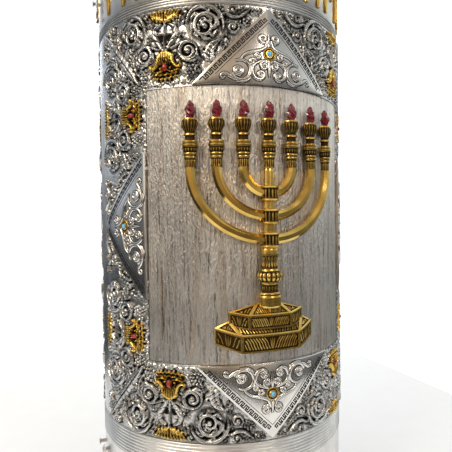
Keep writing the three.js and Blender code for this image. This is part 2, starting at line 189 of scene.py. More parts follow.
# Round ribbons: each path is a list of spots in space, with its radii
def ribbonMesh(name, sides, paths):
    data = bpy.data.curves.new(name, "CURVE")
    data.dimensions = "3D"
    data.bevel_depth = 1.0
    data.bevel_resolution = sides
    data.use_fill_caps = True
    for spots, radii in paths:
        spline = data.splines.new("POLY")
        spline.points.add(len(spots) - 1)
        for point, spot, radius in zip(spline.points, spots, radii):
            point.co = (*spot, 1)
            point.radius = radius
    obj = bpy.data.objects.new(name, data)
    bpy.context.scene.collection.objects.link(obj)
    selectOnly(obj)
    bpy.ops.object.convert(target="MESH")
    return bpy.context.object


# Values given at even steps along a path, read at another number of even steps
def spreadEvenly(values, count):
    return np.interp(np.linspace(0, 1, count), np.linspace(0, 1, len(values)), values)


# Flat layout to the case: x along the arc, depth outwards, z up
def wrapped(flat, turn=0.0):
    angle = flat[:, 0] / caseRadius + turn
    out = caseRadius + flat[:, 1]
    return np.column_stack([out * np.sin(angle), -out * np.cos(angle), flat[:, 2]])


def wrapPiece(obj, turn=0.0):
    setPoints(obj, wrapped(getPoints(obj), turn))


def giveFinish(obj, finish, body, slot, *nodes):
    obj.data.materials.clear()
    obj.data.materials.append(finish)
    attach(obj, body)
    if nodes:
        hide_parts(*nodes)


def storeShare(obj, name, values):
    layer = obj.data.attributes.new(name, "FLOAT", "POINT")
    layer.data.foreach_set("value", np.ascontiguousarray(values, dtype=np.float32))


# ---------- shader helpers

class Flow:
    def __init__(self, tree, socket):
        self.tree = tree
        self.socket = socket

    def maths(self, operation, *values):
        node = self.tree.nodes.new("ShaderNodeMath")
        node.operation = operation
        for slot, value in zip(node.inputs, values):
            if isinstance(value, Flow):
                self.tree.links.new(value.socket, slot)
            else:
                slot.default_value = value
        return Flow(self.tree, node.outputs[0])

    def __add__(self, other):
        return self.maths("ADD", self, other)

    def __radd__(self, other):
        return self.maths("ADD", other, self)

    def __sub__(self, other):
        return self.maths("SUBTRACT", self, other)

    def __rsub__(self, other):
        return self.maths("SUBTRACT", other, self)

    def __mul__(self, other):
        return self.maths("MULTIPLY", self, other)

    def __rmul__(self, other):
        return self.maths("MULTIPLY", other, self)

    def __truediv__(self, other):
        return self.maths("DIVIDE", self, other)

    def ramped(self, low, high):
        node = self.tree.nodes.new("ShaderNodeMapRange")
        node.interpolation_type = "SMOOTHSTEP"
        self.tree.links.new(self.socket, node.inputs["Value"])
        node.inputs["From Min"].default_value = low
        node.inputs["From Max"].default_value = high
        return Flow(self.tree, node.outputs["Result"])


class Finish:
    def __init__(self, name, **constants):
        self.material = bpy.data.materials.new(name)
        self.material.use_nodes = True
        self.tree = self.material.node_tree
        self.shader = self.tree.nodes["Principled BSDF"]
        for socket, value in constants.items():
            self.shader.inputs[socket.replace("_", " ")].default_value = value

    def node(self, kind, settings=None, values=None, out=0):
        node = self.tree.nodes.new(kind)
        for key, value in (settings or {}).items():
            setattr(node, key, value)
        for key, value in (values or {}).items():
            if isinstance(value, Flow):
                self.tree.links.new(value.socket, node.inputs[key])
            else:
                node.inputs[key].default_value = value
        return Flow(self.tree, node.outputs[out])

    def places(self, stretch=(1, 1, 1)):
        coords = self.node("ShaderNodeTexCoord", out="Object")
        return self.node("ShaderNodeMapping", values={"Vector": coords, "Scale": stretch})

    def noise(self, scale, detail=3.0, rough=0.55, stretch=(1, 1, 1)):
        values = {"Vector": self.places(stretch), "Scale": scale, "Detail": detail, "Roughness": rough}
        return self.node("ShaderNodeTexNoise", values=values)

    def share(self, name):
        return self.node("ShaderNodeAttribute", {"attribute_name": name}, out="Fac")

    def mix(self, factor, first, second):
        settings = {"data_type": "RGBA"}
        return self.node("ShaderNodeMix", settings, {0: factor, 6: first, 7: second}, out=2)

    def bump(self, height, strength, distance):
        values = {"Height": height, "Strength": strength, "Distance": distance}
        return self.node("ShaderNodeBump", values=values)

    def feed(self, socket, value):
        self.tree.links.new(value.socket, self.shader.inputs[socket])


def tone(red, green, blue):
    return (red, green, blue, 1.0)


# ---------- finishes

def silverReliefFinish():
    look = {
        "bright": tone(0.76, 0.76, 0.745), "grey": tone(0.46, 0.46, 0.45),
        "tarnishAndShade": tone(0.018, 0.015, 0.012), "gold": tone(0.88, 0.60, 0.15),
        "goldShade": tone(0.045, 0.022, 0.007),
    }
    finish = Finish("silver_relief", Metallic=1.0)
    recess = finish.share("recess")
    gilt = finish.share("gilt").ramped(0.35, 0.6)
    mottle = finish.noise(900.0, 3.0)
    cloud = finish.noise(45.0, 3.0)
    # dark: painted shade in the hollows and cuts of the relief, with some tarnish, over both the silver and
    # the gilding
    dark = (recess + (mottle - 0.5) * 0.45).ramped(0.12, 0.58)
    silver = finish.mix(cloud.ramped(0.35, 0.65), look["bright"], look["grey"])
    silver = finish.mix(dark, silver, look["tarnishAndShade"])
    gold = finish.mix(dark, look["gold"], look["goldShade"])
    finish.feed("Base Color", finish.mix(gilt, silver, gold))
    finish.feed("Roughness", 0.17 + mottle * 0.16 + dark * 0.35)
    finish.feed("Normal", finish.bump(mottle, 0.4, 0.0005))
    return finish.material


def silverMouldingFinish():
    look = {"bright": tone(0.84, 0.83, 0.80), "grey": tone(0.62, 0.61, 0.59)}
    finish = Finish("silver_moulding", Metallic=1.0)
    hatch = finish.noise(260.0, 4.0, 0.6, (1, 1, 5))
    cloud = finish.noise(30.0, 3.0)
    finish.feed("Base Color", finish.mix(cloud.ramped(0.3, 0.7), look["bright"], look["grey"]))
    finish.feed("Roughness", 0.24 + hatch * 0.2)
    finish.feed("Normal", finish.bump(hatch, 0.25, 0.0005))
    return finish.material


def silverBarkFinish():
    look = {"bright": tone(0.86, 0.82, 0.76), "grey": tone(0.56, 0.54, 0.52),
            "line": tone(0.12, 0.10, 0.085), "tan": tone(0.62, 0.52, 0.42)}
    finish = Finish("silver_bark", Metallic=1.0)
    recess = finish.share("recess")
    strand = finish.noise(540.0, 2.0, 0.6, (1, 1, 0.06))
    fine = finish.noise(1000.0, 2.0, 0.6, (1, 1, 0.25))
    band = finish.noise(120.0, 2.0, 0.5, (1, 1, 0.06))
    cloud = finish.noise(14.0, 3.0, 0.55, (1, 1, 0.5))
    base = finish.mix(cloud.ramped(0.38, 0.72), look["bright"], look["grey"])
    # tan: a painted warm reflection, laid in vertical streaks
    base = finish.mix(band.ramped(0.52, 0.7) * 0.7, base, look["tan"])
    # dark: painted shade in the low valleys of the bark, together with its own dark comb lines
    dark = recess * 0.5 + strand.ramped(0.45, 0.68) * 0.55 + fine.ramped(0.42, 0.66) * 0.4 - 0.18
    finish.feed("Base Color", finish.mix(dark.ramped(0.0, 1.15), base, look["line"]))
    finish.feed("Roughness", 0.27 + fine * 0.2)
    finish.feed("Normal", finish.bump(strand + fine * 1.2, 1.0, 0.0009))
    return finish.material


def silverPlaqueFinish():
    finish = Finish("silver_plaque", Metallic=1.0)
    brush = finish.noise(420.0, 3.0, 0.6, (1, 1, 0.4))
    cloud = finish.noise(40.0, 2.0)
    shade = finish.mix(cloud.ramped(0.35, 0.7), tone(0.87, 0.85, 0.81), tone(0.70, 0.68, 0.65))
    finish.feed("Base Color", shade)
    finish.feed("Roughness", 0.16 + brush * 0.12)
    finish.feed("Normal", finish.bump(brush, 0.12, 0.0003))
    return finish.material


# The dark inlay of the key, also used as painted shade under the plaque scrolls
def nielloAndShadeFinish():
    finish = Finish("nielloAndShade", Metallic=0.6)
    grain = finish.noise(1500.0, 2.0)
    finish.feed("Base Color", finish.mix(grain, tone(0.008, 0.007, 0.006), tone(0.03, 0.026, 0.022)))
    finish.feed("Roughness", 0.4 + grain * 0.15)
    return finish.material


def giltFinish(name, polish):
    finish = Finish(name, Metallic=1.0)
    recess = finish.share("recess")
    mottle = finish.noise(700.0, 3.0)
    cloud = finish.noise(60.0, 2.0)
    gold = finish.mix(cloud.ramped(0.3, 0.7), tone(0.86, 0.60, 0.17), tone(0.70, 0.46, 0.11))
    # dark: painted shade in the hollows of the gilding
    dark = (recess + (mottle - 0.5) * 0.3).ramped(0.25, 0.7)
    finish.feed("Base Color", finish.mix(dark, gold, tone(0.055, 0.030, 0.010)))
    finish.feed("Roughness", polish + mottle * 0.1 + dark * 0.25)
    finish.feed("Normal", finish.bump(mottle, 0.2 if polish > 0.15 else 0.06, 0.0004))
    return finish.material


def crystalFinish():
    finish = Finish("red_crystal", IOR=1.62)
    finish.shader.inputs["Transmission Weight"].default_value = 0.15
    finish.shader.inputs["Coat Weight"].default_value = 0.25
    cloud = finish.noise(420.0, 2.0)
    finish.feed("Base Color", finish.mix(cloud.ramped(0.35, 0.65), tone(0.19, 0.007, 0.014),
                                         tone(0.05, 0.002, 0.005)))
    finish.feed("Roughness", 0.08 + cloud * 0.2)
    return finish.material


def stoneFinish(name, light, deep):
    finish = Finish(name, IOR=1.6)
    finish.shader.inputs["Coat Weight"].default_value = 0.8
    cloud = finish.noise(500.0, 3.0)
    finish.feed("Base Color", finish.mix(cloud.ramped(0.35, 0.65), light, deep))
    finish.feed("Roughness", 0.12 + cloud * 0.12)
    return finish.material


def woodFinish():
    finish = Finish("carcass_wood")
    grain = finish.noise(60.0, 5.0, 0.6, (1, 1, 0.08))
    pore = finish.noise(900.0, 2.0, 0.5, (1, 1, 0.03))
    base = finish.mix(grain.ramped(0.3, 0.7), tone(0.30, 0.17, 0.085), tone(0.15, 0.075, 0.035))
    finish.feed("Base Color", finish.mix(pore.ramped(0.6, 0.7), base, tone(0.07, 0.035, 0.018)))
    finish.feed("Roughness", 0.42 + grain * 0.2)
    finish.feed("Normal", finish.bump(pore, 0.2, 0.0004))
    return finish.material


def hardwareFinish():
    finish = Finish("hardware_silver", Metallic=1.0)
    scratch = finish.noise(800.0, 4.0, 0.65)
    finish.feed("Base Color", finish.mix(scratch.ramped(0.3, 0.7), tone(0.74, 0.72, 0.69),
                                         tone(0.55, 0.53, 0.5)))
    finish.feed("Roughness", 0.22 + scratch * 0.2)
    finish.feed("Normal", finish.bump(scratch, 0.15, 0.0003))
    return finish.material


finishes = {
    "relief": silverReliefFinish(),
    "moulding": silverMouldingFinish(),
    "bark": silverBarkFinish(),
    "plaque": silverPlaqueFinish(),
    "nielloAndShade": nielloAndShadeFinish(),
    "gilt": giltFinish("gilt_cast", 0.2),
    "giltPolished": giltFinish("gilt_polished", 0.1),
    "crystal": crystalFinish(),
    "blue": stoneFinish("blue_stone", tone(0.12, 0.42, 0.62), tone(0.05, 0.22, 0.42)),
    "garnet": stoneFinish("garnet", tone(0.36, 0.004, 0.012), tone(0.16, 0.002, 0.006)),
    "wood": woodFinish(),
    "hardware": hardwareFinish(),
}
print("finishes made")


# ---------- the turned parts of both halves

turnedLook = {
    "steps": 64, "reedsLow": 8, "reedsHigh": 4, "reedCrest": 1.3 * millimetre,
    "wallOuter": 137.5 * millimetre, "wallInner": 129 * millimetre, "plate": 8 * millimetre,
    "skinInner": 137.8 * millimetre, "flange": 152 * millimetre,
}


def reedProfile(low, high, count, crest):
    pitch = (high - low) / count
    points = []
    for i in range(count):
        for share in (0.06, 0.22, 0.5, 0.78, 0.94):
            out = crest * math.sqrt(max(0.0, 1 - (2 * share - 1) ** 2 / 0.85))
            points.append((caseRadius + out, low + (i + share) * pitch))
    return points


# A closed outline of radii and heights, spun half round the case and capped at the seam
def turnedHalf(name, outline, side):
    clearSelection()
    bpy.ops.mesh.primitive_circle_add(vertices=len(outline), fill_type="NGON")
    obj = bpy.context.object
    nameAll(obj, name)
    setPoints(obj, [(r, 0.0, z) for r, z in outline])
    steps = turnedLook["steps"]
    editMesh(obj, lambda: bpy.ops.mesh.spin(steps=steps, angle=math.pi, center=(0, 0, 0), axis=(0, 0, 1)))
    places = getPoints(obj)
    if places[:, 1].mean() * side > 0:
        places[:, 1] *= -1
    limit = np.minimum if side > 0 else np.maximum
    places[:, 1] = limit(places[:, 1], -side * seamGap)
    setPoints(obj, places)
    editMesh(obj, mergeDoubles, closeHoles, faceOutwards)
    smoothShade(obj, 40)
    return obj


def storeySpan(node):
    low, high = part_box(node)
    return low[2], high[2]


def carcassOutline():
    low, high = storeySpan("front_carcass")
    inner, outer, plate = (turnedLook[key] for key in ("wallInner", "wallOuter", "plate"))
    fillet = 0.002
    return [(0.0, low), (outer, low), (outer, high), (0.0, high), (0.0, high - plate),
            (inner - fillet, high - plate), (inner, high - plate - fillet),
            (inner, low + plate + fillet), (inner - fillet, low + plate), (0.0, low + plate)]


def plinthOutline():
    low, high = storeySpan("front_plinth")
    tall = high - low
    flange, skin = turnedLook["flange"], turnedLook["skinInner"]
    cove = [(flange - 0.003 - 0.0065 * math.sin(a),
             low + tall * (0.53 + 0.2 * (1 - math.cos(a)) + 0.12 * a))
            for a in np.linspace(0, math.pi / 2, 7)]
    bullnose = [(flange - 0.0012 * (1 - math.cos(a)), low + tall * 0.42 + 0.003 * math.sin(a))
                for a in np.linspace(0, math.pi / 2, 4)]
    return [(skin, low), (flange - 0.001, low), (flange, low + 0.001), *bullnose, *cove,
            (caseRadius + 0.0035, high - 0.004), (caseRadius + 0.003, high), (skin, high)]


def lowerBandOutline():
    low, high = storeySpan("front_lower_band")
    reedLow = fieldLow - 0.026
    skin = turnedLook["skinInner"]
    return [(skin, low), (caseRadius + 0.0004, low), (caseRadius + 0.0004, reedLow - 0.0008),
            (caseRadius - 0.0004, reedLow),
            *reedProfile(reedLow, high, turnedLook["reedsLow"], turnedLook["reedCrest"]), (skin, high)]


def upperBandOutline():
    low, high = storeySpan("front_upper_band")
    skin, crest, count = turnedLook["skinInner"], turnedLook["reedCrest"], turnedLook["reedsHigh"]
    return [(skin, low), *reedProfile(low, low + 0.01, count, crest),
            (caseRadius - 0.0002, low + 0.0104), (caseRadius + 0.0004, low + 0.0112),
            (caseRadius + 0.0004, high - 0.0108), (caseRadius - 0.0002, high - 0.01),
            *reedProfile(high - 0.0098, high, count, crest), (skin, high)]


def corniceOutline():
    low, high = storeySpan("front_cornice")
    tall = high - low
    flange, skin = turnedLook["flange"], turnedLook["skinInner"]
    ovolo = [(caseRadius + 0.003 + 0.0075 * (1 - math.cos(a)), low + tall * (0.2 + 0.33 * math.sin(a)))
             for a in np.linspace(0, math.pi / 2, 7)]
    return [(skin, low), (caseRadius + 0.002, low), (caseRadius + 0.002, low + tall * 0.17), *ovolo,
            (flange - 0.0015, low + tall * 0.56), (flange - 0.0015, low + tall * 0.6),
            (flange, low + tall * 0.63), (flange, high - 0.0015), (flange - 0.0015, high), (skin, high)]


def domeOutline():
    low, high = storeySpan("front_dome")
    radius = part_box("front_dome")[1][0] / ringFlat
    rise, wall = high - low, 0.002
    outer = [(radius * math.cos(a), low + rise * math.sin(a)) for a in np.linspace(0, math.pi / 2, 17)]
    inner = [((radius - wall) * math.cos(a), low + (rise - wall) * math.sin(a))
             for a in np.linspace(math.pi / 2, 0, 17)]
    return outer[:-1] + [(0.0, low + rise), (0.0, low + rise - wall)] + inner[1:]


# A peg on its round seat, turned on its own axis
finialLook = {"sides": 40, "off": 70 * millimetre}


def finialOutline():
    low, high = storeySpan("front_finial")
    tall = high - low
    stations = [(0.0, -0.1), (16.0, -0.1), (16.0, -0.02), (13.2, 0.0), (13.2, 0.05), (12.2, 0.1),
                (8.6, 0.14), (7.0, 0.2), (5.9, 0.34), (5.3, 0.5), (5.8, 0.6), (7.6, 0.66), (8.5, 0.74),
                (8.4, 0.82), (7.2, 0.9), (4.6, 0.97), (0.0, 1.0)]
    return [(r * millimetre, low + share * tall) for r, share in stations]


def finial(name, side):
    outline = np.array(finialOutline())
    steps = np.linspace(0, 1, len(outline))

    def shape(s, t):
        r = np.interp(t, steps, outline[:, 0])
        z = np.interp(t, steps, outline[:, 1])
        angle = 2 * math.pi * s
        return r * np.cos(angle), r * np.sin(angle) - side * finialLook["off"], z

    obj = shapedGrid(name, finialLook["sides"], 3 * (len(outline) - 1), shape)
    editMesh(obj, mergeDoubles, faceOutwards)
    smoothShade(obj, 50)
    return obj


halfPlan = [("front", 1, "front_half"), ("back", -1, "back_half")]
halfTurn = {1: 0.0, -1: math.pi}  # how far round the case each half's flat layout lies
turnedPlan = [
    ("carcass", carcassOutline, "wood", "carcass_wood"),
    ("plinth", plinthOutline, "moulding", "silver_moulding"),
    ("lower_band", lowerBandOutline, "moulding", "silver_hatched"),
    ("upper_band", upperBandOutline, "moulding", "silver_hatched"),
    ("cornice", corniceOutline, "moulding", "silver_moulding"),
    ("dome", domeOutline, "moulding", "silver_moulding"),
]
for half, side, body in halfPlan:
    for part, outline, look, slot in turnedPlan:
        obj = turnedHalf(f"{half}_{part}_turned", outline(), side)
        giveFinish(obj, finishes[look], body, slot, f"{half}_{part}")
    obj = finial(f"{half}_finial_turned", side)
    giveFinish(obj, finishes["moulding"], body, "silver_moulding", f"{half}_finial")
print("turned parts made")


# ---------- carving of the silver relief: one quadrant is drawn on a fine flat raster, in case radii

carvingLook = {
    "cell": 0.0028, "wide": 1.4, "tall": 1.49, "panelWide": panelShare, "panelTall": 0.951, "unitWide": 0.715,
    "unitTall": 0.785, "crest": 0.0195, "goldCrest": 0.025, "stoneOff": 0.13, "stoneLong": 0.026,
    "stoneShort": 0.0155,
    "berries": [
        (0.15, 0.13, 0.0105), (0.173, 0.12, 0.0115), (0.196, 0.125, 0.0105), (0.16, 0.1, 0.011),
        (0.185, 0.1, 0.012), (0.209, 0.1, 0.0105), (0.172, 0.078, 0.01), (0.198, 0.076, 0.0105),
        (0.15, 0.078, 0.009), (0.184, 0.055, 0.0095), (0.162, 0.054, 0.009), (0.208, 0.052, 0.0085),
        (0.172, 0.033, 0.0085), (0.194, 0.03, 0.0075),
    ],
}


def smoothPath(points, steps=8):
    p = np.array(points, dtype=float)
    ends = np.vstack([2 * p[0] - p[1], p, 2 * p[-1] - p[-2]])
    out = []
    for i in range(len(p) - 1):
        a, b, c, d = ends[i:i + 4]
        for t in np.linspace(0, 1, steps, endpoint=False):
            out.append(0.5 * (2 * b + (c - a) * t + (2 * a - 5 * b + 4 * c - d) * t * t
                              + (3 * b - a - 3 * c + d) * t ** 3))
    out.append(p[-1])
    return np.array(out)


def spiralPath(x, z, radius, start, turns, tight=0.2, steps=22):
    t = np.linspace(0, 1, max(6, int(abs(turns) * steps)))
    r = radius * (1 - (1 - tight) * t)
    angle = start + turns * 2 * math.pi * t
    return np.column_stack([x + r * np.cos(angle), z + r * np.sin(angle)])


class Carving:
    def __init__(self, look):
        self.cell = look["cell"]
        self.count = (int(look["wide"] / self.cell) + 2, int(look["tall"] / self.cell) + 2)
        self.height = np.zeros(self.count)
        self.gilt = np.zeros(self.count)
        self.dark = np.zeros(self.count)

    # The raster cells near one straight length, with their distance from it as a share of its half width
    def near(self, start, end, wideStart, wideEnd):
        margin = max(wideStart, wideEnd)
        low = np.floor((np.minimum(start, end) - margin) / self.cell).astype(int)
        high = np.ceil((np.maximum(start, end) + margin) / self.cell).astype(int) + 1
        low, high = np.maximum(low, 0), np.minimum(high, self.count)
        if (low >= high).any():
            return None, None
        x = (np.arange(low[0], high[0]) * self.cell)[:, None] - start[0]
        z = (np.arange(low[1], high[1]) * self.cell)[None, :] - start[1]
        run = end - start
        t = np.clip((x * run[0] + z * run[1]) / max(run @ run, 1e-12), 0, 1)
        wide = wideStart + (wideEnd - wideStart) * t
        away = np.hypot(x - t * run[0], z - t * run[1]) / wide
        return (slice(low[0], high[0]), slice(low[1], high[1])), away

    # A rounded ridge along a path whose half width changes along it
    def ridge(self, path, widths, crest, gold=False):
        path = np.asarray(path, dtype=float)
        spread = spreadEvenly(widths, len(path))
        for i in range(len(path) - 1):
            window, away = self.near(path[i], path[i + 1], spread[i], spread[i + 1])
            if window is None:
                continue
            rise = np.where(away < 1, crest * (0.25 + 0.75 * np.sqrt(np.clip(1 - away ** 2, 0, None))), 0.0)
            better = rise > self.height[window]
            self.height[window] = np.where(better, rise, self.height[window])
            self.gilt[window] = np.where(better, float(gold), self.gilt[window])
            self.dark[window] = np.where(better, 0.0, self.dark[window])

    # A cut into whatever is there, filled with painted shade
    def engrave(self, path, widths, cut=0.6):
        path = np.asarray(path, dtype=float)
        spread = spreadEvenly(widths, len(path))
        for i in range(len(path) - 1):
            window, away = self.near(path[i], path[i + 1], spread[i], spread[i + 1])
            if window is None:
                continue
            share = np.where(away < 1, np.clip(1.25 - away, 0, 1), 0.0)
            self.height[window] *= 1 - cut * share
            self.dark[window] = np.maximum(self.dark[window], share)

    def bead(self, x, z, radius, crest, gold=False):
        self.ridge([(x, z), (x + 1e-4, z)], (radius, radius), crest, gold)

    # A round patch of painted shade on the ground, which is also sunk a little where it lies low
    def blot(self, x, z, radius):
        self.engrave([(x, z), (x + 1e-4, z)], (radius, radius), 0.9)

    # A lobed leaf: a bent midrib with pairs of lobes that lean towards its tip, and eyes of painted shade
    # between them
    def leaf(self, start, end, wide, lobes, crest, bend=0.0):
        start, end = np.array(start, dtype=float), np.array(end, dtype=float)
        run = end - start
        side = np.array([-run[1], run[0]])
        long = np.linalg.norm(run)
        eyes = []
        for i in range(lobes):
            share = (i + 0.25) / lobes
            root = start + run * share + side * bend * 4 * share * (1 - share)
            reach = wide * (0.6 + 0.6 * math.sin(math.pi * min(1.0, share + 0.25)))
            for hand in (-1, 1):
                tip = root + run / long * reach * 0.85 + hand * side / long * reach * 0.8
                bulge = (root + tip) / 2 + hand * side / long * reach * 0.18
                self.ridge(smoothPath([root, bulge, tip], 4), (wide * 0.12, wide * 0.24, wide * 0.12),
                           crest * 0.92)
                eyes.append(([root, bulge], (0.0022, 0.0028)))
                eyes.append(([tip + (tip - bulge) * 0.2 - run / long * reach * 0.5] * 2, (0.005, 0.005)))
        for eye, widths in eyes:
            eye = np.array(eye, dtype=float)
            eye[1] = eye[1] + 1e-4
            self.engrave(eye, widths, 0.5)
        t = np.linspace(0, 1, 9)[:, None]
        rib = start + run * t + side * bend * 4 * t * (1 - t)
        self.ridge(rib, (wide * 0.13, wide * 0.17, wide * 0.06), crest * 1.05)

    def blade(self, start, end, wide, crest, bend=0.0):
        start, end = np.array(start, dtype=float), np.array(end, dtype=float)
        run = end - start
        side = np.array([-run[1], run[0]])
        t = np.linspace(0, 1, 15)[:, None]
        rib = start + run * t + side * bend * 4 * t * (1 - t)
        self.ridge(rib, (wide * 0.25, wide, wide * 0.9, wide * 0.65, wide * 0.1), crest)
        self.engrave(rib[1:-2], (0.003, 0.0045, 0.003), 0.45)
        for i in range(3, 12, 2):
            for hand in (-1, 1):
                edge = rib[i] + hand * side / np.linalg.norm(run) * wide * 0.95
                self.engrave([rib[i] + run * 0.015, edge + run * 0.05], (0.002, 0.004), 0.5)

    # An acanthus scroll: a bright outer band, then a stem that winds inwards with swept lobes outside it
    def roundel(self, x, z, radius, hand, start, crest):
        def spot(angle, share):
            return np.array([x + radius * share * math.cos(angle), z + radius * share * math.sin(angle)])

        self.blot(x, z, radius * 0.94)
        turns = 1.4
        count = 12
        for i in range(count):
            t = i / (count - 1)
            angle = start + hand * (0.2 + turns * 2 * math.pi * t)
            share = 0.66 - 0.46 * t
            size = (0.42 - 0.2 * t) * (0.8 + 0.3 * math.sin(7.3 * i + 1.2))
            root = spot(angle, share)
            bulge = spot(angle + hand * (0.2 + 0.2 * t), share + size * 0.6)
            tip = spot(angle + hand * (0.55 + 0.45 * t), share + size * 0.85)
            wide = 0.0175 - 0.006 * t
            self.ridge(smoothPath([root, bulge, tip], 5), (wide * 0.55, wide, wide * 0.5),
                       crest * (0.8 + 0.15 * t))
            vein = [root + (bulge - root) * 0.3, bulge, (bulge + tip) / 2]
            self.engrave(vein, (0.002, 0.0035, 0.002), 0.4)
            self.blot(*spot(angle - hand * 0.14, share + size * 0.55), 0.009 - 0.003 * t)
        rib = [spot(start + hand * turns * 2 * math.pi * t, 0.7 - 0.52 * t) for t in np.linspace(0, 1, 40)]
        self.ridge(rib, (0.015, 0.0135, 0.0105, 0.008), crest * 1.05)
        self.bead(x, z, 0.02, crest * 1.1)
        band = [spot(start + hand * turn, 0.98 + 0.03 * math.sin(turn))
                for turn in np.linspace(-0.5, 2.9, 36)]
        self.ridge(band, (0.004, 0.014, 0.018, 0.014, 0.004), crest * 1.15)

    def volute(self, x, z, radius, hand, start, crest, turns=1.25):
        self.blot(x, z, radius * 0.9)
        wide = min(0.0125, radius * 0.24)
        self.ridge(spiralPath(x, z, radius, start, hand * turns, 0.3, 26),
                   (wide * 0.8, wide, wide, wide * 0.7), crest)
        self.bead(x, z, radius * 0.32, crest * 1.1)

    def loop(self, place, a, b, radius, crest):
        ring = [place(a + radius * math.cos(t), b + radius * math.sin(t)) for t in np.linspace(3.4, 6.0, 9)]
        self.ridge(ring, (0.003, 0.0055, 0.003), crest, True)

    # The gilt flower: a fluted hood over an oval stone, curled arms and a lacy cup below, on patches of
    # painted shade, with painted shade in the flutes
    def flower(self, place):
        gold = carvingLook["goldCrest"]
        for a, b, radius in ((0, 0.12, 0.05), (0.055, 0.11, 0.04), (0.075, 0.085, 0.035), (0, 0.075, 0.05),
                             (0.04, 0.06, 0.035)):
            for hand in (-1, 1) if a else (1,):
                self.blot(*place(hand * a, b), radius)
        for k in range(-3, 4):
            path = [place(k * 0.011, 0.152), place(k * 0.0165, 0.185),
                    place(k * 0.0175, 0.232 - 0.0028 * k * k)]
            self.ridge(smoothPath(path, 6), (0.006, 0.0105, 0.012), gold, True)
        for k in (-2.5, -1.5, -0.5, 0.5, 1.5, 2.5):
            path = [place(k * 0.011, 0.148), place(k * 0.0165, 0.178), place(k * 0.017, 0.202)]
            self.engrave(smoothPath(path, 5), (0.0042, 0.0032, 0.001), 0.55)
        for hand in (-1, 1):
            curl = [(0.047, 0.21), (0.053, 0.175), (0.062, 0.148), (0.082, 0.128), (0.104, 0.128),
                    (0.112, 0.142), (0.101, 0.151)]
            self.ridge(smoothPath([place(hand * a, b) for a, b in curl], 5),
                       (0.012, 0.0115, 0.0085, 0.0065), gold, True)
            arm = [(0.018, 0.108), (0.045, 0.098), (0.07, 0.1), (0.095, 0.108), (0.116, 0.1)]
            self.ridge(smoothPath([place(hand * a, b) for a, b in arm], 5), (0.004, 0.006, 0.004),
                       gold * 0.8, True)
            self.bead(*place(hand * 0.036, 0.122), 0.0075, gold * 0.7, True)
            self.bead(*place(hand * 0.122, 0.083), 0.0085, gold * 0.6)
            self.bead(*place(hand * 0.132, 0.066), 0.007, gold * 0.5)
        for k in range(-2, 3):
            self.loop(place, k * 0.036, 0.092 + 0.0015 * k * k, 0.0165, gold * 0.75)
        for k in range(-3, 4):
            self.loop(place, k * 0.031, 0.066 + 0.0012 * k * k, 0.0145, gold * 0.65)
            path = [place(k * 0.03, 0.058), place(k * 0.033, 0.034 + 0.0014 * k * k)]
            self.ridge(path, (0.0045, 0.003), gold * 0.5, True)
        rim = [place(0.0145 * math.cos(t), 0.13 + 0.0235 * math.sin(t))
               for t in np.linspace(0, 2 * math.pi, 19)]
        self.ridge(rim, (0.0035, 0.0035), gold * 0.95, True)

    def spray(self, place):
        gold = carvingLook["goldCrest"]
        for a, b, radius in ((0, 0.46, 0.045), (0.06, 0.475, 0.042), (0.1, 0.485, 0.03)):
            for hand in (-1, 1) if a else (1,):
                self.blot(*place(hand * a, b), radius)
        for hand in (-1, 1):
            for k in range(5):
                lean = 0.014 + 0.0235 * k
                path = smoothPath([place(hand * (0.005 + 0.008 * k), 0.43 + 0.004 * k),
                                   place(hand * lean * 0.8, 0.472),
                                   place(hand * lean, 0.512 - 0.002 * k)], 5)
                self.ridge(path, (0.004, 0.0085, 0.0065), gold * (0.95 - 0.04 * k), True)
                self.engrave(path[2:-1], (0.0015, 0.0028, 0.002), 0.4)
            for a, b in ((0.035, 0.44), (0.062, 0.448), (0.09, 0.46), (0.115, 0.468)):
                self.bead(*place(hand * a, b), 0.0085, gold * 0.65, True)

    # One repeat of the border: its axis runs outwards from the panel's edge
    def unit(self, place, flip):
        crest = carvingLook["crest"]
        for hand in (-1, 1):
            def side(a, b, hand=hand):
                return place(hand * a, b)

            def lean(value, hand=hand):
                return value if hand * flip > 0 else math.pi - value

            turn = hand * flip
            self.roundel(*side(0.28, 0.385), 0.13, turn, lean(0.05 * math.pi), crest * 1.1)
            self.volute(*side(0.165, 0.225), 0.066, turn, lean(0.5 * math.pi), crest * 1.1)
            ring = [side(0.165 + 0.064 * math.cos(t), 0.225 + 0.064 * math.sin(t))
                    for t in np.linspace(0, 2 * math.pi, 33)]
            self.ridge(ring, (0.0085, 0.0085), crest * 1.15)
            link = [(0.012, 0.27), (0.04, 0.255), (0.08, 0.268), (0.12, 0.285), (0.165, 0.291)]
            self.ridge(smoothPath([side(a, b) for a, b in link], 5), (0.006, 0.008, 0.008), crest * 1.1)
            tail = [(0.165, 0.161), (0.195, 0.152), (0.225, 0.17), (0.236, 0.2)]
            self.ridge(smoothPath([side(a, b) for a, b in tail], 5), (0.008, 0.008, 0.004), crest)
            lyre = [(0.012, 0.245), (0.05, 0.3), (0.078, 0.345), (0.07, 0.395), (0.03, 0.42)]
            self.blot(*side(0.03, 0.33), 0.03)
            self.ridge(smoothPath([side(a, b) for a, b in lyre], 6),
                       (0.008, 0.017, 0.02, 0.014, 0.006), crest)
            for b in (0.315, 0.35, 0.385):
                self.engrave([side(0.035, b - 0.012), side(0.078, b + 0.004)], (0.0028, 0.0035), 0.5)
            for a, b, radius in carvingLook["berries"]:
                self.blot(*side(a, b), radius * 1.35)
            for a, b, radius in carvingLook["berries"]:
                self.bead(*side(a, b), radius, crest * 0.8)
            self.leaf(side(0.25, 0.235), side(0.355, 0.2), 0.048, 4, crest * 0.95, -0.15 * turn)
            self.leaf(side(0.1, 0.4), side(0.145, 0.51), 0.034, 3, crest * 0.9, 0.1 * turn)
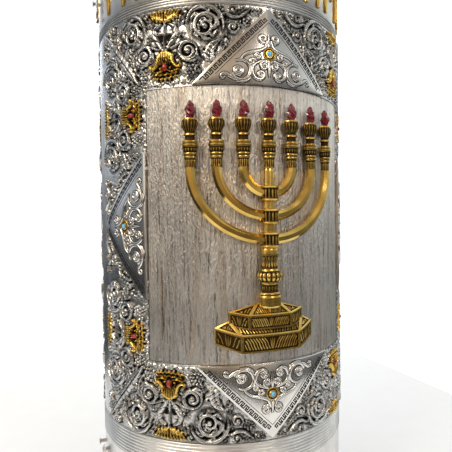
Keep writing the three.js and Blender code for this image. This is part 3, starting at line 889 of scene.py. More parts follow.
            self.leaf(side(0.09, 0.24), side(0.08, 0.175), 0.024, 2, crest * 0.7, 0.1 * turn)
            self.leaf(side(0.1, 0.33), side(0.145, 0.33), 0.026, 2, crest * 0.85, 0.1 * turn)
            self.leaf(side(0.4, 0.3), side(0.43, 0.2), 0.03, 3, crest * 0.8, 0.1 * turn)
            self.volute(*side(0.155, 0.49), 0.023, turn, lean(0.3), crest * 0.9, 1.0)
            for k in range(12):
                a = 0.018 + 0.034 * k + 0.008 * math.sin(5.1 * k)
                b = 0.018 + 0.006 * math.sin(3.7 * k + 1)
                self.ridge([side(a - 0.008, b + 0.007 * math.cos(4.3 * k)), side(a + 0.009, b)],
                           (0.0075, 0.0095), crest * (0.45 + 0.12 * math.sin(2.9 * k)))
                self.blot(*side(a + 0.016, b + 0.004), 0.006)
        self.flower(place)
        self.spray(place)
        self.ridge([place(0, 0.235), place(0, 0.3), place(0, 0.43)], (0.0085, 0.006, 0.006), crest * 1.05)


def drawCorner(carving):
    crest = carvingLook["crest"]
    for hand in (-1, 1):
        def mirrored(along, off, hand=hand):
            middle = np.array([carvingLook["panelWide"], carvingLook["panelTall"]])
            middle = middle + along * np.array([0.7, 0.714])
            return tuple(middle + hand * off * np.array([-0.714, 0.7]))

        carving.leaf(mirrored(0.1, 0.035), mirrored(0.25, 0.12), 0.042, 4, crest, -0.12 * hand)
        carving.leaf(mirrored(0.36, 0.045), mirrored(0.52, 0.14), 0.042, 4, crest, -0.12 * hand)
        carving.volute(*mirrored(0.3, 0.09), 0.03, hand, 0.4, crest)
        carving.volute(*mirrored(0.59, 0.105), 0.034, -hand, 2.4, crest)
        carving.leaf(mirrored(0.56, 0.035), mirrored(0.71, 0.075), 0.034, 3, crest * 0.9)
        carving.leaf(mirrored(0.02, 0.07), mirrored(0.07, 0.17), 0.03, 3, crest * 0.8)
    carving.blade((0.935, 0.995), (1.385, 1.465), 0.036, crest * 1.15, 0.02)


# The carving that fills the slope between a plaque and the first roundel
def drawBesidePlaque(carving, place, flip):
    crest = carvingLook["crest"]
    bracket = [(0.315, 0.3), (0.345, 0.288), (0.39, 0.262), (0.415, 0.215), (0.425, 0.165)]
    carving.blot(*place(0.385, 0.24), 0.045)
    carving.ridge(smoothPath([place(a, b) for a, b in bracket], 6), (0.006, 0.012, 0.02, 0.022, 0.014),
                  crest * 1.1)
    inner = [(0.35, 0.268), (0.375, 0.235), (0.388, 0.19), (0.38, 0.16)]
    carving.ridge(smoothPath([place(a, b) for a, b in inner], 6), (0.006, 0.013, 0.013, 0.009),
                  crest * 0.95)
    for share in (0.2, 0.4, 0.6, 0.8):
        a, b = 0.345 + 0.07 * share, 0.288 - 0.12 * share
        carving.engrave([place(a - 0.004, b - 0.02), place(a + 0.028, b + 0.004)], (0.002, 0.0035), 0.5)
    carving.leaf(place(0.46, 0.045), place(0.5, 0.13), 0.028, 3, crest * 0.8)
    wave = [(0.335, 0.455), (0.29, 0.462), (0.25, 0.443), (0.2, 0.447), (0.16, 0.475), (0.12, 0.512)]
    carving.volute(*place(0.245, 0.492), 0.026, flip, 0.6, crest, 1.1)
    carving.volute(*place(0.105, 0.482), 0.022, -flip, 2.2, crest, 1.1)
    carving.leaf(place(0.21, 0.475), place(0.155, 0.515), 0.024, 3, crest * 0.85, 0.1 * flip)
    carving.volute(*place(0.245, 0.372), 0.04, flip, 2.4, crest)
    carving.leaf(place(0.2, 0.385), place(0.13, 0.45), 0.03, 4, crest * 0.9, 0.12 * flip)
    carving.leaf(place(0.285, 0.335), place(0.3, 0.262), 0.026, 3, crest * 0.85)
    carving.leaf(place(0.3, 0.4), place(0.275, 0.435), 0.018, 2, crest * 0.8)
    carving.leaf(place(0.09, 0.47), place(0.045, 0.515), 0.02, 3, crest * 0.8)
    carving.leaf(place(0.47, 0.18), place(0.5, 0.1), 0.026, 3, crest * 0.8)
    carving.leaf(place(0.3, 0.49), place(0.36, 0.518), 0.024, 3, crest * 0.85)
    carving.ridge(smoothPath([place(a, b) for a, b in wave], 6), (0.006, 0.011, 0.01, 0.004), crest * 1.2)


def blurred(values, cells):
    kernel = np.ones(2 * cells + 1) / (2 * cells + 1)
    padded = np.pad(values, cells, mode="edge")
    rows = np.apply_along_axis(np.convolve, 0, padded, kernel, "valid")
    return np.apply_along_axis(np.convolve, 1, rows, kernel, "valid")


def carvedQuadrant():
    look = carvingLook
    carving = Carving(look)
    wideRun = lambda a, b: (look["unitWide"] + a, look["panelTall"] + b)
    tallRun = lambda a, b: (look["panelWide"] + b, look["unitTall"] + a)
    carving.unit(wideRun, 1)
    carving.unit(tallRun, -1)
    drawCorner(carving)
    drawBesidePlaque(carving, lambda a, b: (a, look["panelTall"] + b), 1)
    drawBesidePlaque(carving, lambda a, b: (look["panelWide"] + b, a), -1)
    # recess: painted shade for the hollows round the ornament, the cuts and the dark spots, with some tarnish
    # on the silver; the low ground near the ornament is also sunk
    around = blurred(blurred(carving.height, 4), 4)
    cavity = np.clip((around - 0.8 * carving.height) / look["crest"] * 1.7, 0, 1)
    low = carving.height < 0.25 * look["crest"]
    sunk = carving.height - 0.0085 * np.clip(around / look["crest"] * 1.6 + carving.dark, 0, 1) * low
    recess = np.maximum(cavity, blurred(carving.dark, 1))
    return {"height": sunk, "recess": recess, "gilt": blurred(carving.gilt, 1)}


carved = carvedQuadrant()
noise = np.random.default_rng(11)
stipple = noise.random((256, 256))
print("carving drawn")


def lookUp(raster, x, z, cell):
    i, j = x / cell, z / cell
    i0 = np.clip(i.astype(int), 0, raster.shape[0] - 2)
    j0 = np.clip(j.astype(int), 0, raster.shape[1] - 2)
    fi, fj = np.clip(i - i0, 0, 1), np.clip(j - j0, 0, 1)
    low = raster[i0, j0] * (1 - fi) + raster[i0 + 1, j0] * fi
    high = raster[i0, j0 + 1] * (1 - fi) + raster[i0 + 1, j0 + 1] * fi
    return low * (1 - fj) + high * fj


# Smooth noise with a repeat of 255 cells, from the stipple table
def grain(x, z, cell):
    i, j = (x / cell) % 255, (z / cell) % 255
    return lookUp(stipple, i, j, 1.0)


reliefPlan = {
    "front": {"across": (120, 154), "up": (94, 330, 94)},
    "back": {"across": (84, 106), "up": (64, 226, 64)},
}


# Lines of the grid fall on the window's edges, so that its corner is square
def reliefSheet(name, plan, hand, side):
    outerX = math.pi / 2 * caseRadius - 0.6 * millimetre
    columns = [0.0, plan["across"][1], sum(plan["across"])]
    rows = np.cumsum([0, *plan["up"]])
    heights = [fieldLow, at(0) - panelHalfHigh, at(0) + panelHalfHigh, fieldHigh]
    total = columns[-1]

    def shape(s, t):
        x = hand * np.interp(s * total, columns, [0.0, panelHalfWide, outerX])
        z = np.interp(t * rows[-1], rows, heights)
        return x, np.zeros_like(x), z

    obj = shapedGrid(name, total, int(rows[-1]), shape)
    flat = getPoints(obj)
    inside = np.abs(flat[:, 0]) < panelHalfWide - 1e-5
    inside &= np.abs(flat[:, 2] - fieldMid) < panelHalfHigh - 1e-5
    selectParts(obj, "VERT", inside)
    bpy.ops.mesh.delete(type="VERT")
    bpy.ops.object.mode_set(mode="OBJECT")

    flat = getPoints(obj)
    x, z = flat[:, 0] / caseRadius, (flat[:, 2] - fieldMid) / caseRadius
    shiftX = (grain(x + 3 * hand, z + 5, 0.11) - 0.5) * 0.008
    shiftZ = (grain(x + 7, z + 2 * hand, 0.13) - 0.5) * 0.008
    wide, tall = np.abs(x + shiftX), np.abs(z + shiftZ)
    cell = carvingLook["cell"]
    flat[:, 1] = lookUp(carved["height"], wide, tall, cell) * caseRadius
    flat[:, 1] += (grain(x * 1.7 + 9, z * 1.3 + 9, 0.006) - 0.5) * 0.45 * millimetre
    plain = np.clip((np.abs(x) - carvingLook["wide"]) / 0.02, 0, 1)
    flat[:, 1] = flat[:, 1] * (1 - plain) + 0.3 * millimetre * plain
    edge = np.minimum.reduce([
        np.abs(np.abs(x) - outerX / caseRadius), np.abs(flat[:, 2] - fieldLow) / caseRadius,
        np.abs(flat[:, 2] - fieldHigh) / caseRadius,
        np.hypot(np.maximum(np.abs(x) - panelHalfWide / caseRadius, 0),
                 np.maximum(np.abs(z) - panelHalfHigh / caseRadius, 0)),
    ])
    flat[:, 1] *= np.clip(edge / 0.008, 0, 1)
    # recess: the carving's painted shade; the skirt below the sheet's edges gets some painted shade too
    recess = lookUp(carved["recess"], wide, tall, cell) * (1 - plain)
    gilt = lookUp(carved["gilt"], wide, tall, cell) * (1 - plain)
    setPoints(obj, flat)
    skirt = np.zeros(addSkirt(obj))
    storeShare(obj, "recess", np.concatenate([recess, skirt + 0.3]))
    storeShare(obj, "gilt", np.concatenate([gilt, skirt]))
    wrapPiece(obj, halfTurn[side])
    editMesh(obj, faceOutwards)
    smoothShade(obj, 60)
    return obj


for half, side, body in halfPlan:
    for part, hand in (("left", -1), ("right", 1)):
        obj = reliefSheet(f"{half}_relief_{part}", reliefPlan[half], hand, side)
        giveFinish(obj, finishes["relief"], body, "silver_relief", f"{half}_relief_frame")
print("relief sheets made")


# ---------- bark panels

barkPlan = {
    "front": {"across": 352, "up": 96, "depth": 0.55 * millimetre},
    "back": {"across": 236, "up": 64, "depth": 0.5 * millimetre},
}


def barkPanel(name, plan, side):
    wide = panelHalfWide - 0.45 * millimetre
    tall = panelHalfHigh - 0.3 * millimetre

    def shape(s, t):
        x = (2 * s - 1) * wide
        z = (2 * t - 1) * tall
        sway = (grain(x + 1, z + 1, 0.03) - 0.5) * 0.005
        comb = grain(x + sway + 2, z * 0.03 + 2, 0.0011)
        broad = grain(x + sway + 3, z * 0.06 + 3, 0.0026)
        ridge = comb * 0.5 + broad * 0.5
        edge = np.clip(np.minimum(wide - np.abs(x), tall - np.abs(z)) / 0.0015, 0, 1)
        return x, panelFace + plan["depth"] * (ridge - 0.5) * edge, fieldMid + z

    obj = shapedGrid(name, plan["across"], plan["up"], shape)
    # low: the valleys of the bark, marked for painted shade
    low = np.clip((panelFace - getPoints(obj)[:, 1]) / plan["depth"] * 2.2, 0, 1)
    storeShare(obj, "recess", np.concatenate([low, np.zeros(addSkirt(obj))]))
    wrapPiece(obj, halfTurn[side])
    editMesh(obj, faceOutwards)
    smoothShade(obj, 70)
    return obj


for half, side, body in halfPlan:
    obj = barkPanel(f"{half}_panel_bark", barkPlan[half], side)
    giveFinish(obj, finishes["bark"], body, "silver_bark", f"{half}_panel")
print("bark panels made")


# ---------- plaques: local a along the base, b from the base to the apex

plaqueLook = {
    "halfBase": 0.538 * caseRadius, "reach": 0.527 * caseRadius, "margin": 0.6 * millimetre,
    "back": 0.3 * millimetre, "top": 2.6 * millimetre, "cut": 4 * millimetre, "stone": 0.213 * caseRadius,
    "keyMiddle": 0.0385 * caseRadius, "keyWide": 0.0285 * caseRadius, "keyPitch": 0.0425 * caseRadius,
    "keyLine": 1.15 * millimetre, "keyCount": 14, "keyStart": 0.1 * caseRadius,
    "lineIn": 0.071 * caseRadius, "lineWide": 0.5 * millimetre,
}
plaquePlaces = {
    "top": lambda a, b: (a, fieldMid + panelHalfHigh + b),
    "bottom": lambda a, b: (-a, fieldMid - panelHalfHigh - b),
    "right": lambda a, b: (panelHalfWide + b, fieldMid - a),
    "left": lambda a, b: (-panelHalfWide - b, fieldMid + a),
}


def placeFlat(obj, place, turn):
    flat = getPoints(obj)
    x, z = place(flat[:, 0], flat[:, 2])
    setPoints(obj, wrapped(np.column_stack([x, flat[:, 1], z]), turn))


def lifted(depth):
    return lambda: bpy.ops.transform.translate(value=(0, depth, 0))


def insetBy(amount):
    return lambda: bpy.ops.mesh.inset(thickness=amount, depth=0, use_boundary=True)


def plaquePlate(name, place, turn):
    look = plaqueLook
    margin = look["margin"]
    slope = math.hypot(look["halfBase"], look["reach"]) / look["halfBase"]
    apex = look["reach"] - margin * slope
    side = (apex - margin) * look["halfBase"] / look["reach"]
    clearSelection()
    bpy.ops.mesh.primitive_circle_add(vertices=3, fill_type="NGON")
    obj = bpy.context.object
    nameAll(obj, name)
    setPoints(obj, [(-side, look["back"], margin), (side, look["back"], margin), (0, look["back"], apex)])
    rise = look["top"] - look["back"]
    editMesh(
        obj,
        lambda: bpy.ops.mesh.extrude_region_move(TRANSFORM_OT_translate={"value": (0, rise * 0.8, 0)}),
        insetBy(0.25 * millimetre), lifted(rise * 0.14),
        insetBy(0.35 * millimetre), lifted(rise * 0.06),
        lambda: bpy.ops.mesh.select_all(action="SELECT"),
        closeHoles,
    )
    flat = getPoints(obj)
    x, z = place(flat[:, 0], flat[:, 2])
    setPoints(obj, np.column_stack([x, flat[:, 1], z]))
    cutAcross(obj, look["cut"])
    wrapPiece(obj, turn)
    editMesh(obj, mergeDoubles, faceOutwards)
    smoothShade(obj, 25)
    return obj


# One flat bar of the key, from one corner of the meander to the next
def keyBar(start, end, half=plaqueLook["keyLine"] / 2):
    look = plaqueLook
    (s0, t0), (s1, t1) = start, end
    edge = math.hypot(look["halfBase"], look["reach"])
    clearSelection()
    bpy.ops.mesh.primitive_cube_add(size=2)
    bar = bpy.context.object
    places = getPoints(bar)
    s = np.where(places[:, 0] < 0, min(s0, s1) - half, max(s0, s1) + half)
    t = np.where(places[:, 2] < 0, min(t0, t1) - half, max(t0, t1) + half)
    depth = np.where(places[:, 1] < 0, look["top"] - 0.3 * millimetre, look["top"] + 0.07 * millimetre)
    a = -look["halfBase"] + s * look["halfBase"] / edge + t * look["reach"] / edge
    b = s * look["reach"] / edge - t * look["halfBase"] / edge
    setPoints(bar, np.column_stack([a, depth, b]))
    return bar


def keyBorder(name):
    look = plaqueLook
    meander = [(0.0, 0.0), (0.0, 1.0), (0.66, 1.0), (0.66, 0.34), (0.33, 0.34), (0.33, 0.62)]
    link = [(0.0, 0.0), (-0.67, 0.0)]
    low = look["keyMiddle"] - look["keyWide"] / 2
    first = look["keyStart"]
    edge = math.hypot(look["halfBase"], look["reach"])
    slope = look["reach"] / look["halfBase"]
    last = edge - look["lineIn"] / math.tan(math.pi / 2 - math.atan(slope)) - 0.5 * millimetre
    cuts = np.linspace(look["lineIn"] * 2.4, last, 12)
    bars = [keyBar((cuts[i], look["lineIn"]), (cuts[i + 1], look["lineIn"]), look["lineWide"] / 2)
            for i in range(len(cuts) - 1)]
    for i in range(look["keyCount"]):
        for path in (meander, link):
            spots = [(first + (i + s) * look["keyPitch"], low + t * look["keyWide"]) for s, t in path]
            bars += [keyBar(spots[k], spots[k + 1]) for k in range(len(spots) - 1)]
    one = joinPieces(name, bars)
    other = copyOf(one, name + "_other")
    flat = getPoints(other)
    flat[:, 0] *= -1
    setPoints(other, flat)
    return joinPieces(name, [one, other])


# Flattened ribbons on a plaque; each path is a list of (a, b) in case radii, with its half widths
def ribbons(name, paths, depth, flatten, grow=0.0, sides=3):
    laid = [([(a * caseRadius, 0, b * caseRadius) for a, b in path],
             spreadEvenly(widths, len(path)) * caseRadius + grow) for path, widths in paths]
    obj = ribbonMesh(name, sides, laid)
    flat = getPoints(obj)
    flat[:, 1] = depth + flat[:, 1] * flatten
    setPoints(obj, flat)
    return obj


def plaqueScrolls():
    wide = 0.0118
    half = [
        (smoothPath([(-0.012, 0.3), (-0.022, 0.27), (-0.03, 0.254), (-0.06, 0.236), (-0.1, 0.224),
                     (-0.145, 0.212), (-0.178, 0.192), (-0.196, 0.168)], 5),
         (wide, wide * 1.1, wide * 0.7)),
        (spiralPath(-0.043, 0.314, 0.03, -1.2, -1.3, 0.25, 18), (wide * 0.8, wide, wide * 0.6)),
        (spiralPath(-0.078, 0.197, 0.025, 1.4, 1.3, 0.25, 18), (wide * 0.6, wide * 0.9, wide * 0.5)),
        (spiralPath(-0.118, 0.157, 0.021, 0.4, 1.3, 0.25, 18), (wide * 0.6, wide * 0.9, wide * 0.5)),
        (spiralPath(-0.2, 0.095, 0.07, 2.1, -0.78, 0.9, 40), (wide * 0.6, wide * 1.1, wide)),
        (spiralPath(-0.217, 0.094, 0.034, 0.2, -1.9, 0.2, 18), (wide * 0.9, wide * 0.8, wide * 0.5)),
        (smoothPath([(-0.235, 0.036), (-0.27, 0.052), (-0.3, 0.072), (-0.325, 0.066), (-0.33, 0.048),
                     (-0.315, 0.04), (-0.305, 0.05)], 5), (wide, wide * 0.9, wide * 0.5)),
        (smoothPath([(-0.028, 0.17), (-0.07, 0.158), (-0.112, 0.13), (-0.122, 0.09), (-0.105, 0.052),
                     (-0.07, 0.038), (-0.045, 0.052)], 6), (wide * 0.6, wide * 1.1, wide)),
        (spiralPath(-0.062, 0.072, 0.026, -1.0, 1.5, 0.2, 18), (wide, wide * 0.8, wide * 0.5)),
        (spiralPath(-0.036, 0.132, 0.03, 1.6, 1.4, 0.2, 18), (wide * 0.9, wide * 0.8, wide * 0.5)),
        (smoothPath([(-0.135, 0.05), (-0.15, 0.032), (-0.185, 0.02), (-0.225, 0.026)], 5),
         (wide * 0.5, wide * 0.9)),
        (smoothPath([(-0.13, 0.14), (-0.135, 0.11), (-0.128, 0.08)], 4),
         (wide * 0.5, wide * 0.9, wide * 0.5)),
    ]
    other = [(np.asarray(path) * np.array([-1, 1]), widths) for path, widths in half]
    middle = [(np.array([(0, 0.262), (0, 0.285), (0, 0.31), (0, 0.345)]), (wide, wide * 0.8, wide * 0.3)),
              (np.array([(0, 0.17), (0, 0.14), (0, 0.1), (0, 0.055)]),
               (wide * 0.5, wide * 1.2, wide * 0.4))]
    return half + other + middle


# A small ringed setting with a scalloped edge
settingLook = {"sides": 48, "petals": 12}


def setting(name):
    profile = [(6.4, 0.3), (6.4, 2.9), (5.9, 3.4), (5.2, 3.5), (4.7, 3.0), (4.2, 2.9), (3.9, 3.6),
               (3.5, 4.1), (3.0, 4.1), (2.8, 3.5), (0.0, 3.4)]
    radii = np.array([r for r, _ in profile]) * millimetre
    depths = np.array([d for _, d in profile]) * millimetre
    steps = np.linspace(0, 1, len(profile))

    def shape(s, t):
        angle = 2 * math.pi * s
        ripple = 1 + 0.06 * np.abs(np.cos(angle * settingLook["petals"] / 2)) * (t < 0.35) * (t > 0.01)
        r = np.interp(t, steps, radii) * ripple
        return r * np.cos(angle), np.interp(t, steps, depths), plaqueLook["stone"] + r * np.sin(angle)

    obj = shapedGrid(name, settingLook["sides"], 2 * (len(profile) - 1), shape)
    editMesh(obj, mergeDoubles, closeHoles)
    flat = getPoints(obj)
    r = np.hypot(flat[:, 0], flat[:, 2] - plaqueLook["stone"]) / millimetre
    # painted shade in the groove inside the petals and round the outer wall of the setting
    storeShare(obj, "recess", np.clip(1.5 - np.abs(r - 4.6) / 0.55, 0, 1) + np.clip(r - 5.9, 0, 0.6))
    return obj


# A domed stone on a flat base
def cabochonStone(name, radius, base, rise):
    def shape(s, t):
        angle = 2 * math.pi * s
        lift = np.sin(t * math.pi / 2)
        r = radius * np.cos(t * math.pi / 2)
        return r * np.cos(angle), base + rise * lift, r * np.sin(angle)

    obj = shapedGrid(name, 24, 8, shape)
    editMesh(obj, mergeDoubles, closeHoles)
    return obj


def finishCopy(source, name, place, turn, finish, body, slot, *nodes, angle=40):
    obj = copyOf(source, name)
    placeFlat(obj, place, turn)
    editMesh(obj, mergeDoubles, faceOutwards)
    smoothShade(obj, angle)
    giveFinish(obj, finish, body, slot, *nodes)


keyModel = keyBorder("key_model")
scrollModel = ribbons("scroll_model", plaqueScrolls(), 2.6 * millimetre, 0.95)
# A wide flat dark ribbon under the scrolls: painted shade round them
shadeOutlineModel = ribbons("shade_outline_model", plaqueScrolls(), 2.6 * millimetre, 0.05, 0.9 * millimetre, 1)
settingModel = setting("setting_model")
stoneModel = cabochonStone("stone_model", 2.7 * millimetre, 3.5 * millimetre, 2.0 * millimetre)
flatStone = getPoints(stoneModel)
flatStone[:, 2] += plaqueLook["stone"]
setPoints(stoneModel, flatStone)

for half, side, body in halfPlan:
    turn = halfTurn[side]
    for spot, place in plaquePlaces.items():
        plate = plaquePlate(f"{half}_plaque_{spot}_plate", place, turn)
        giveFinish(plate, finishes["plaque"], body, "silver_plaque", f"{half}_plaque_{spot}")
        finishCopy(keyModel, f"{half}_plaque_{spot}_key", place, turn, finishes["nielloAndShade"], body,
                   "silver_plaque")
        finishCopy(settingModel, f"{half}_plaque_{spot}_setting", place, turn, finishes["gilt"], body,
                   "gilt_cast")
        if side > 0:
            finishCopy(scrollModel, f"{half}_plaque_{spot}_scrolls", place, turn, finishes["plaque"], body,
                       "silver_plaque", angle=60)
            # painted shade under the scrolls, in the dark niello finish
            finishCopy(shadeOutlineModel, f"{half}_plaque_{spot}_scroll_shade", place, turn, finishes["nielloAndShade"], body,
                       "silver_plaque")
        nodes = [f"front_stone_{spot}"] if side > 0 else []
        finishCopy(stoneModel, f"{half}_stone_{spot}_cabochon", place, turn, finishes["blue"], body,
                   "blue_stone", *nodes, angle=70)
for model in (keyModel, scrollModel, shadeOutlineModel, settingModel, stoneModel):
    bpy.data.objects.remove(model)
print("plaques made")


# ---------- garnets in the gilt flowers of the border

def garnets(name, turn):
    look = carvingLook
    stones = []
    for wide in (-1, 1):
        for tall in (-1, 1):
            beside = (wide * (look["panelWide"] + look["stoneOff"]), tall * look["unitTall"])
            above = (wide * look["unitWide"], tall * (look["panelTall"] + look["stoneOff"]))
            broad, slim = look["stoneLong"], look["stoneShort"]
            for (x, z), halfWide, halfTall in ((above, slim, broad), (beside, broad, slim)):
                stone = cabochonStone("garnet", 1.0, 0.0, 1.0)
                flat = getPoints(stone)
                places = np.column_stack([
                    (x + flat[:, 0] * halfWide) * caseRadius, (2.2 + 2.2 * flat[:, 1]) * millimetre,
                    fieldMid + (z + flat[:, 2] * halfTall) * caseRadius])
                setPoints(stone, wrapped(places, turn))
                stones.append(stone)
    obj = joinPieces(name, stones)
    editMesh(obj, faceOutwards)
    smoothShade(obj, 60)
    return obj


for half, side, body in halfPlan:
    obj = garnets(f"{half}_garnets", halfTurn[side])
    giveFinish(obj, finishes["garnet"], body, "red_crystal")


# ---------- the seven-branched lamp

lampLook = {
    "x": -2.5 * millimetre, "depth": 5.2 * millimetre, "spacing": 0.173, "top": 0.39,
    "arm": 4.9 * millimetre, "behind": -0.5 * millimetre,
    "drops": {"inner": 0.175, "middle": 0.33, "outer": 0.4875},
    "armSteps": 64, "cupSides": 48, "stemSides": 64, "flutes": 16,
}


# A turned piece in relief: stations are (half width, height, flutes, how dark), in case radii; the darkness
# is painted shade in its rings and flute grooves
def relievedTurning(name, x, stations, sides, rows, squeeze):
    look = lampLook
    values = np.array(stations, dtype=float)
    run = np.concatenate([[0], np.cumsum(np.hypot(np.diff(values[:, 0]), np.diff(values[:, 1])) + 1e-4)])
    run /= run[-1]
    marks = {}

    def shape(s, t):
        angle = 2 * math.pi * s
        flutes = np.interp(t, run, values[:, 2])
        groove = 1 - np.abs(np.cos(angle * look["flutes"] / 2))
        r = np.interp(t, run, values[:, 0]) * caseRadius * (1 - flutes * groove)
        flatX = x + r * np.cos(angle)
        flatDepth = np.maximum(look["depth"] + squeeze * r * np.sin(angle), look["behind"])
        # painted shade in the rings and flute grooves
        marks["dark"] = np.clip(np.interp(t, run, values[:, 3]) + groove * (flutes > 0.01) * 0.85, 0, 1)
        return flatX, flatDepth, fieldMid + np.interp(t, run, values[:, 1]) * caseRadius

    obj = shapedGrid(name, sides, rows, shape)
    storeShare(obj, "recess", marks["dark"])
    editMesh(obj, mergeDoubles, closeHoles)
    wrapPiece(obj)
    editMesh(obj, faceOutwards)
    smoothShade(obj, 50)
    return obj


# A branch top from the arm upwards: cuff, ringed knop, neck rings, bell and rolled rim
cupStations = [
    (0.0, 0.385, 0, 0), (0.037, 0.386, 0, 0), (0.038, 0.395, 0, 0.5), (0.036, 0.40, 0.12, 0.4),
    (0.037, 0.44, 0.14, 0.2), (0.034, 0.447, 0, 0.9), (0.041, 0.453, 0, 0.3), (0.043, 0.461, 0, 0),
    (0.039, 0.467, 0, 0.9), (0.044, 0.474, 0, 0.2), (0.046, 0.484, 0, 0.1), (0.041, 0.489, 0, 0.9),
    (0.047, 0.497, 0.1, 0.4), (0.050, 0.512, 0.16, 0.3), (0.045, 0.521, 0, 0.9), (0.052, 0.53, 0, 0.2),
    (0.053, 0.545, 0, 0.1), (0.046, 0.549, 0, 0.8), (0.050, 0.556, 0, 0), (0.050, 0.566, 0, 0),
    (0.038, 0.571, 0, 0.5), (0.032, 0.578, 0, 1), (0.032, 0.60, 0, 1), (0.041, 0.606, 0, 0.1),
    (0.040, 0.614, 0, 0.1), (0.032, 0.619, 0.1, 0.9), (0.035, 0.632, 0.16, 0.35), (0.045, 0.647, 0.16, 0.3),
    (0.053, 0.664, 0.14, 0.35), (0.0555, 0.682, 0.12, 0.4), (0.053, 0.697, 0.1, 0.5),
    (0.047, 0.706, 0, 0.4), (0.048, 0.712, 0, 0), (0.043, 0.718, 0, 0), (0.036, 0.714, 0, 0.6),
    (0.0, 0.708, 0, 1),
]
stemStations = [
    (0.0, -0.556, 0, 0), (0.072, -0.555, 0, 0), (0.074, -0.545, 0, 0.1), (0.074, -0.48, 0, 0),
    (0.066, -0.472, 0, 0.8), (0.071, -0.465, 0, 0), (0.068, -0.455, 0, 0.2), (0.052, -0.45, 0, 0.9),
    (0.054, -0.435, 0.2, 0.3), (0.058, -0.415, 0.2, 0.2), (0.05, -0.402, 0, 0.9), (0.058, -0.395, 0, 0),
    (0.062, -0.387, 0, 0), (0.056, -0.38, 0, 0.9), (0.075, -0.373, 0.06, 0.3), (0.088, -0.355, 0.1, 0.1),
    (0.09, -0.34, 0.1, 0), (0.082, -0.322, 0.1, 0.2), (0.062, -0.312, 0, 0.9), (0.056, -0.306, 0, 0.1),
    (0.058, -0.298, 0, 0), (0.052, -0.292, 0, 0.9), (0.054, -0.275, 0.2, 0.2), (0.048, -0.25, 0.2, 0.1),
    (0.052, -0.225, 0.2, 0.1), (0.058, -0.212, 0.1, 0.1), (0.052, -0.205, 0, 0.9), (0.056, -0.2, 0, 0),
    (0.054, -0.158, 0, 0), (0.046, -0.15, 0, 0.8), (0.038, -0.146, 0, 0.2), (0.037, -0.14, 0, 0),
    (0.036, 0.38, 0, 0), (0.0, 0.386, 0, 0),
]
collarStations = [
    (0.0, -0.054, 0, 0), (0.056, -0.053, 0, 0.2), (0.066, -0.049, 0, 0), (0.066, -0.040, 0, 0),
    (0.057, -0.035, 0, 0.9), (0.061, -0.027, 0.24, 0.35), (0.063, 0.0, 0.26, 0.3),
    (0.061, 0.027, 0.24, 0.35), (0.057, 0.035, 0, 0.9), (0.066, 0.040, 0, 0), (0.066, 0.049, 0, 0),
    (0.056, 0.053, 0, 0.2), (0.0, 0.054, 0, 0),
]


# An eight-sided bar, bent as half an ellipse between two branches
def lampArm(name, share, drop):
    look = lampLook
    sides = 8
    reach = share * look["spacing"]

    def shape(s, t):
        angle = math.pi * (1 + s)
        alongX = reach * np.cos(angle)
        alongZ = look["top"] + drop * np.sin(angle)
        normalX = np.cos(angle) * drop
        normalZ = np.sin(angle) * reach
        long = np.hypot(normalX, normalZ)
        corner = 2 * math.pi * (np.round(t * sides) + 0.5) / sides
        off = look["arm"] * np.cos(corner)
        x = look["x"] + alongX * caseRadius + off * normalX / long
        z = fieldMid + alongZ * caseRadius + off * normalZ / long
        return x, np.maximum(look["depth"] + 0.95 * look["arm"] * np.sin(corner), look["behind"]), z

    obj = shapedGrid(name, look["armSteps"], sides, shape)
    storeShare(obj, "recess", np.zeros(len(obj.data.vertices)))
    editMesh(obj, mergeDoubles, closeHoles)
    wrapPiece(obj)
    editMesh(obj, faceOutwards)
    smoothShade(obj, 25)
    return obj


# A rough-cut crystal flame
flameLook = {"sides": 10, "rows": 11, "jitter": 0.24}


def flame(name, x, node):
    low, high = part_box(node)
    base, tall = low[2], high[2] - low[2]
    profile = [(0.0, 0.0), (2.0, 0.0), (3.1, 0.16), (4.3, 0.32), (4.9, 0.48), (4.4, 0.64), (3.0, 0.82),
               (1.2, 0.95), (0.0, 1.0)]
    radii = np.array([r for r, _ in profile]) * millimetre
    heights = np.array([h for _, h in profile])
    steps = np.linspace(0, 1, len(profile))
    knocks = noise.random((flameLook["sides"], flameLook["rows"]))

    def shape(s, t):
        column = np.round(s * flameLook["sides"]).astype(int) % flameLook["sides"]
        row = np.clip(np.round(t * flameLook["rows"]).astype(int), 0, flameLook["rows"] - 1)
        knock = 1 + flameLook["jitter"] * (knocks[column, row] - 0.5) * 2
        angle = 2 * math.pi * s + 0.5 * t
        r = np.interp(t, steps, radii) * knock
        height = np.interp(t, steps, heights)
        lift = np.where((t > 0.15) & (t < 0.9), (knocks[column, row] - 0.5) * 0.06, 0)
        sway = 0.7 * millimetre * np.sin(height * 3)
        flatDepth = lampLook["depth"] + 0.85 * r * np.sin(angle)
        return x + r * np.cos(angle) + sway, flatDepth, base + tall * np.clip(height + lift, 0, 1)

    obj = shapedGrid(name, flameLook["sides"], flameLook["rows"], shape)
    editMesh(obj, mergeDoubles, closeHoles)
    wrapPiece(obj)
    editMesh(obj, faceOutwards)
    return obj


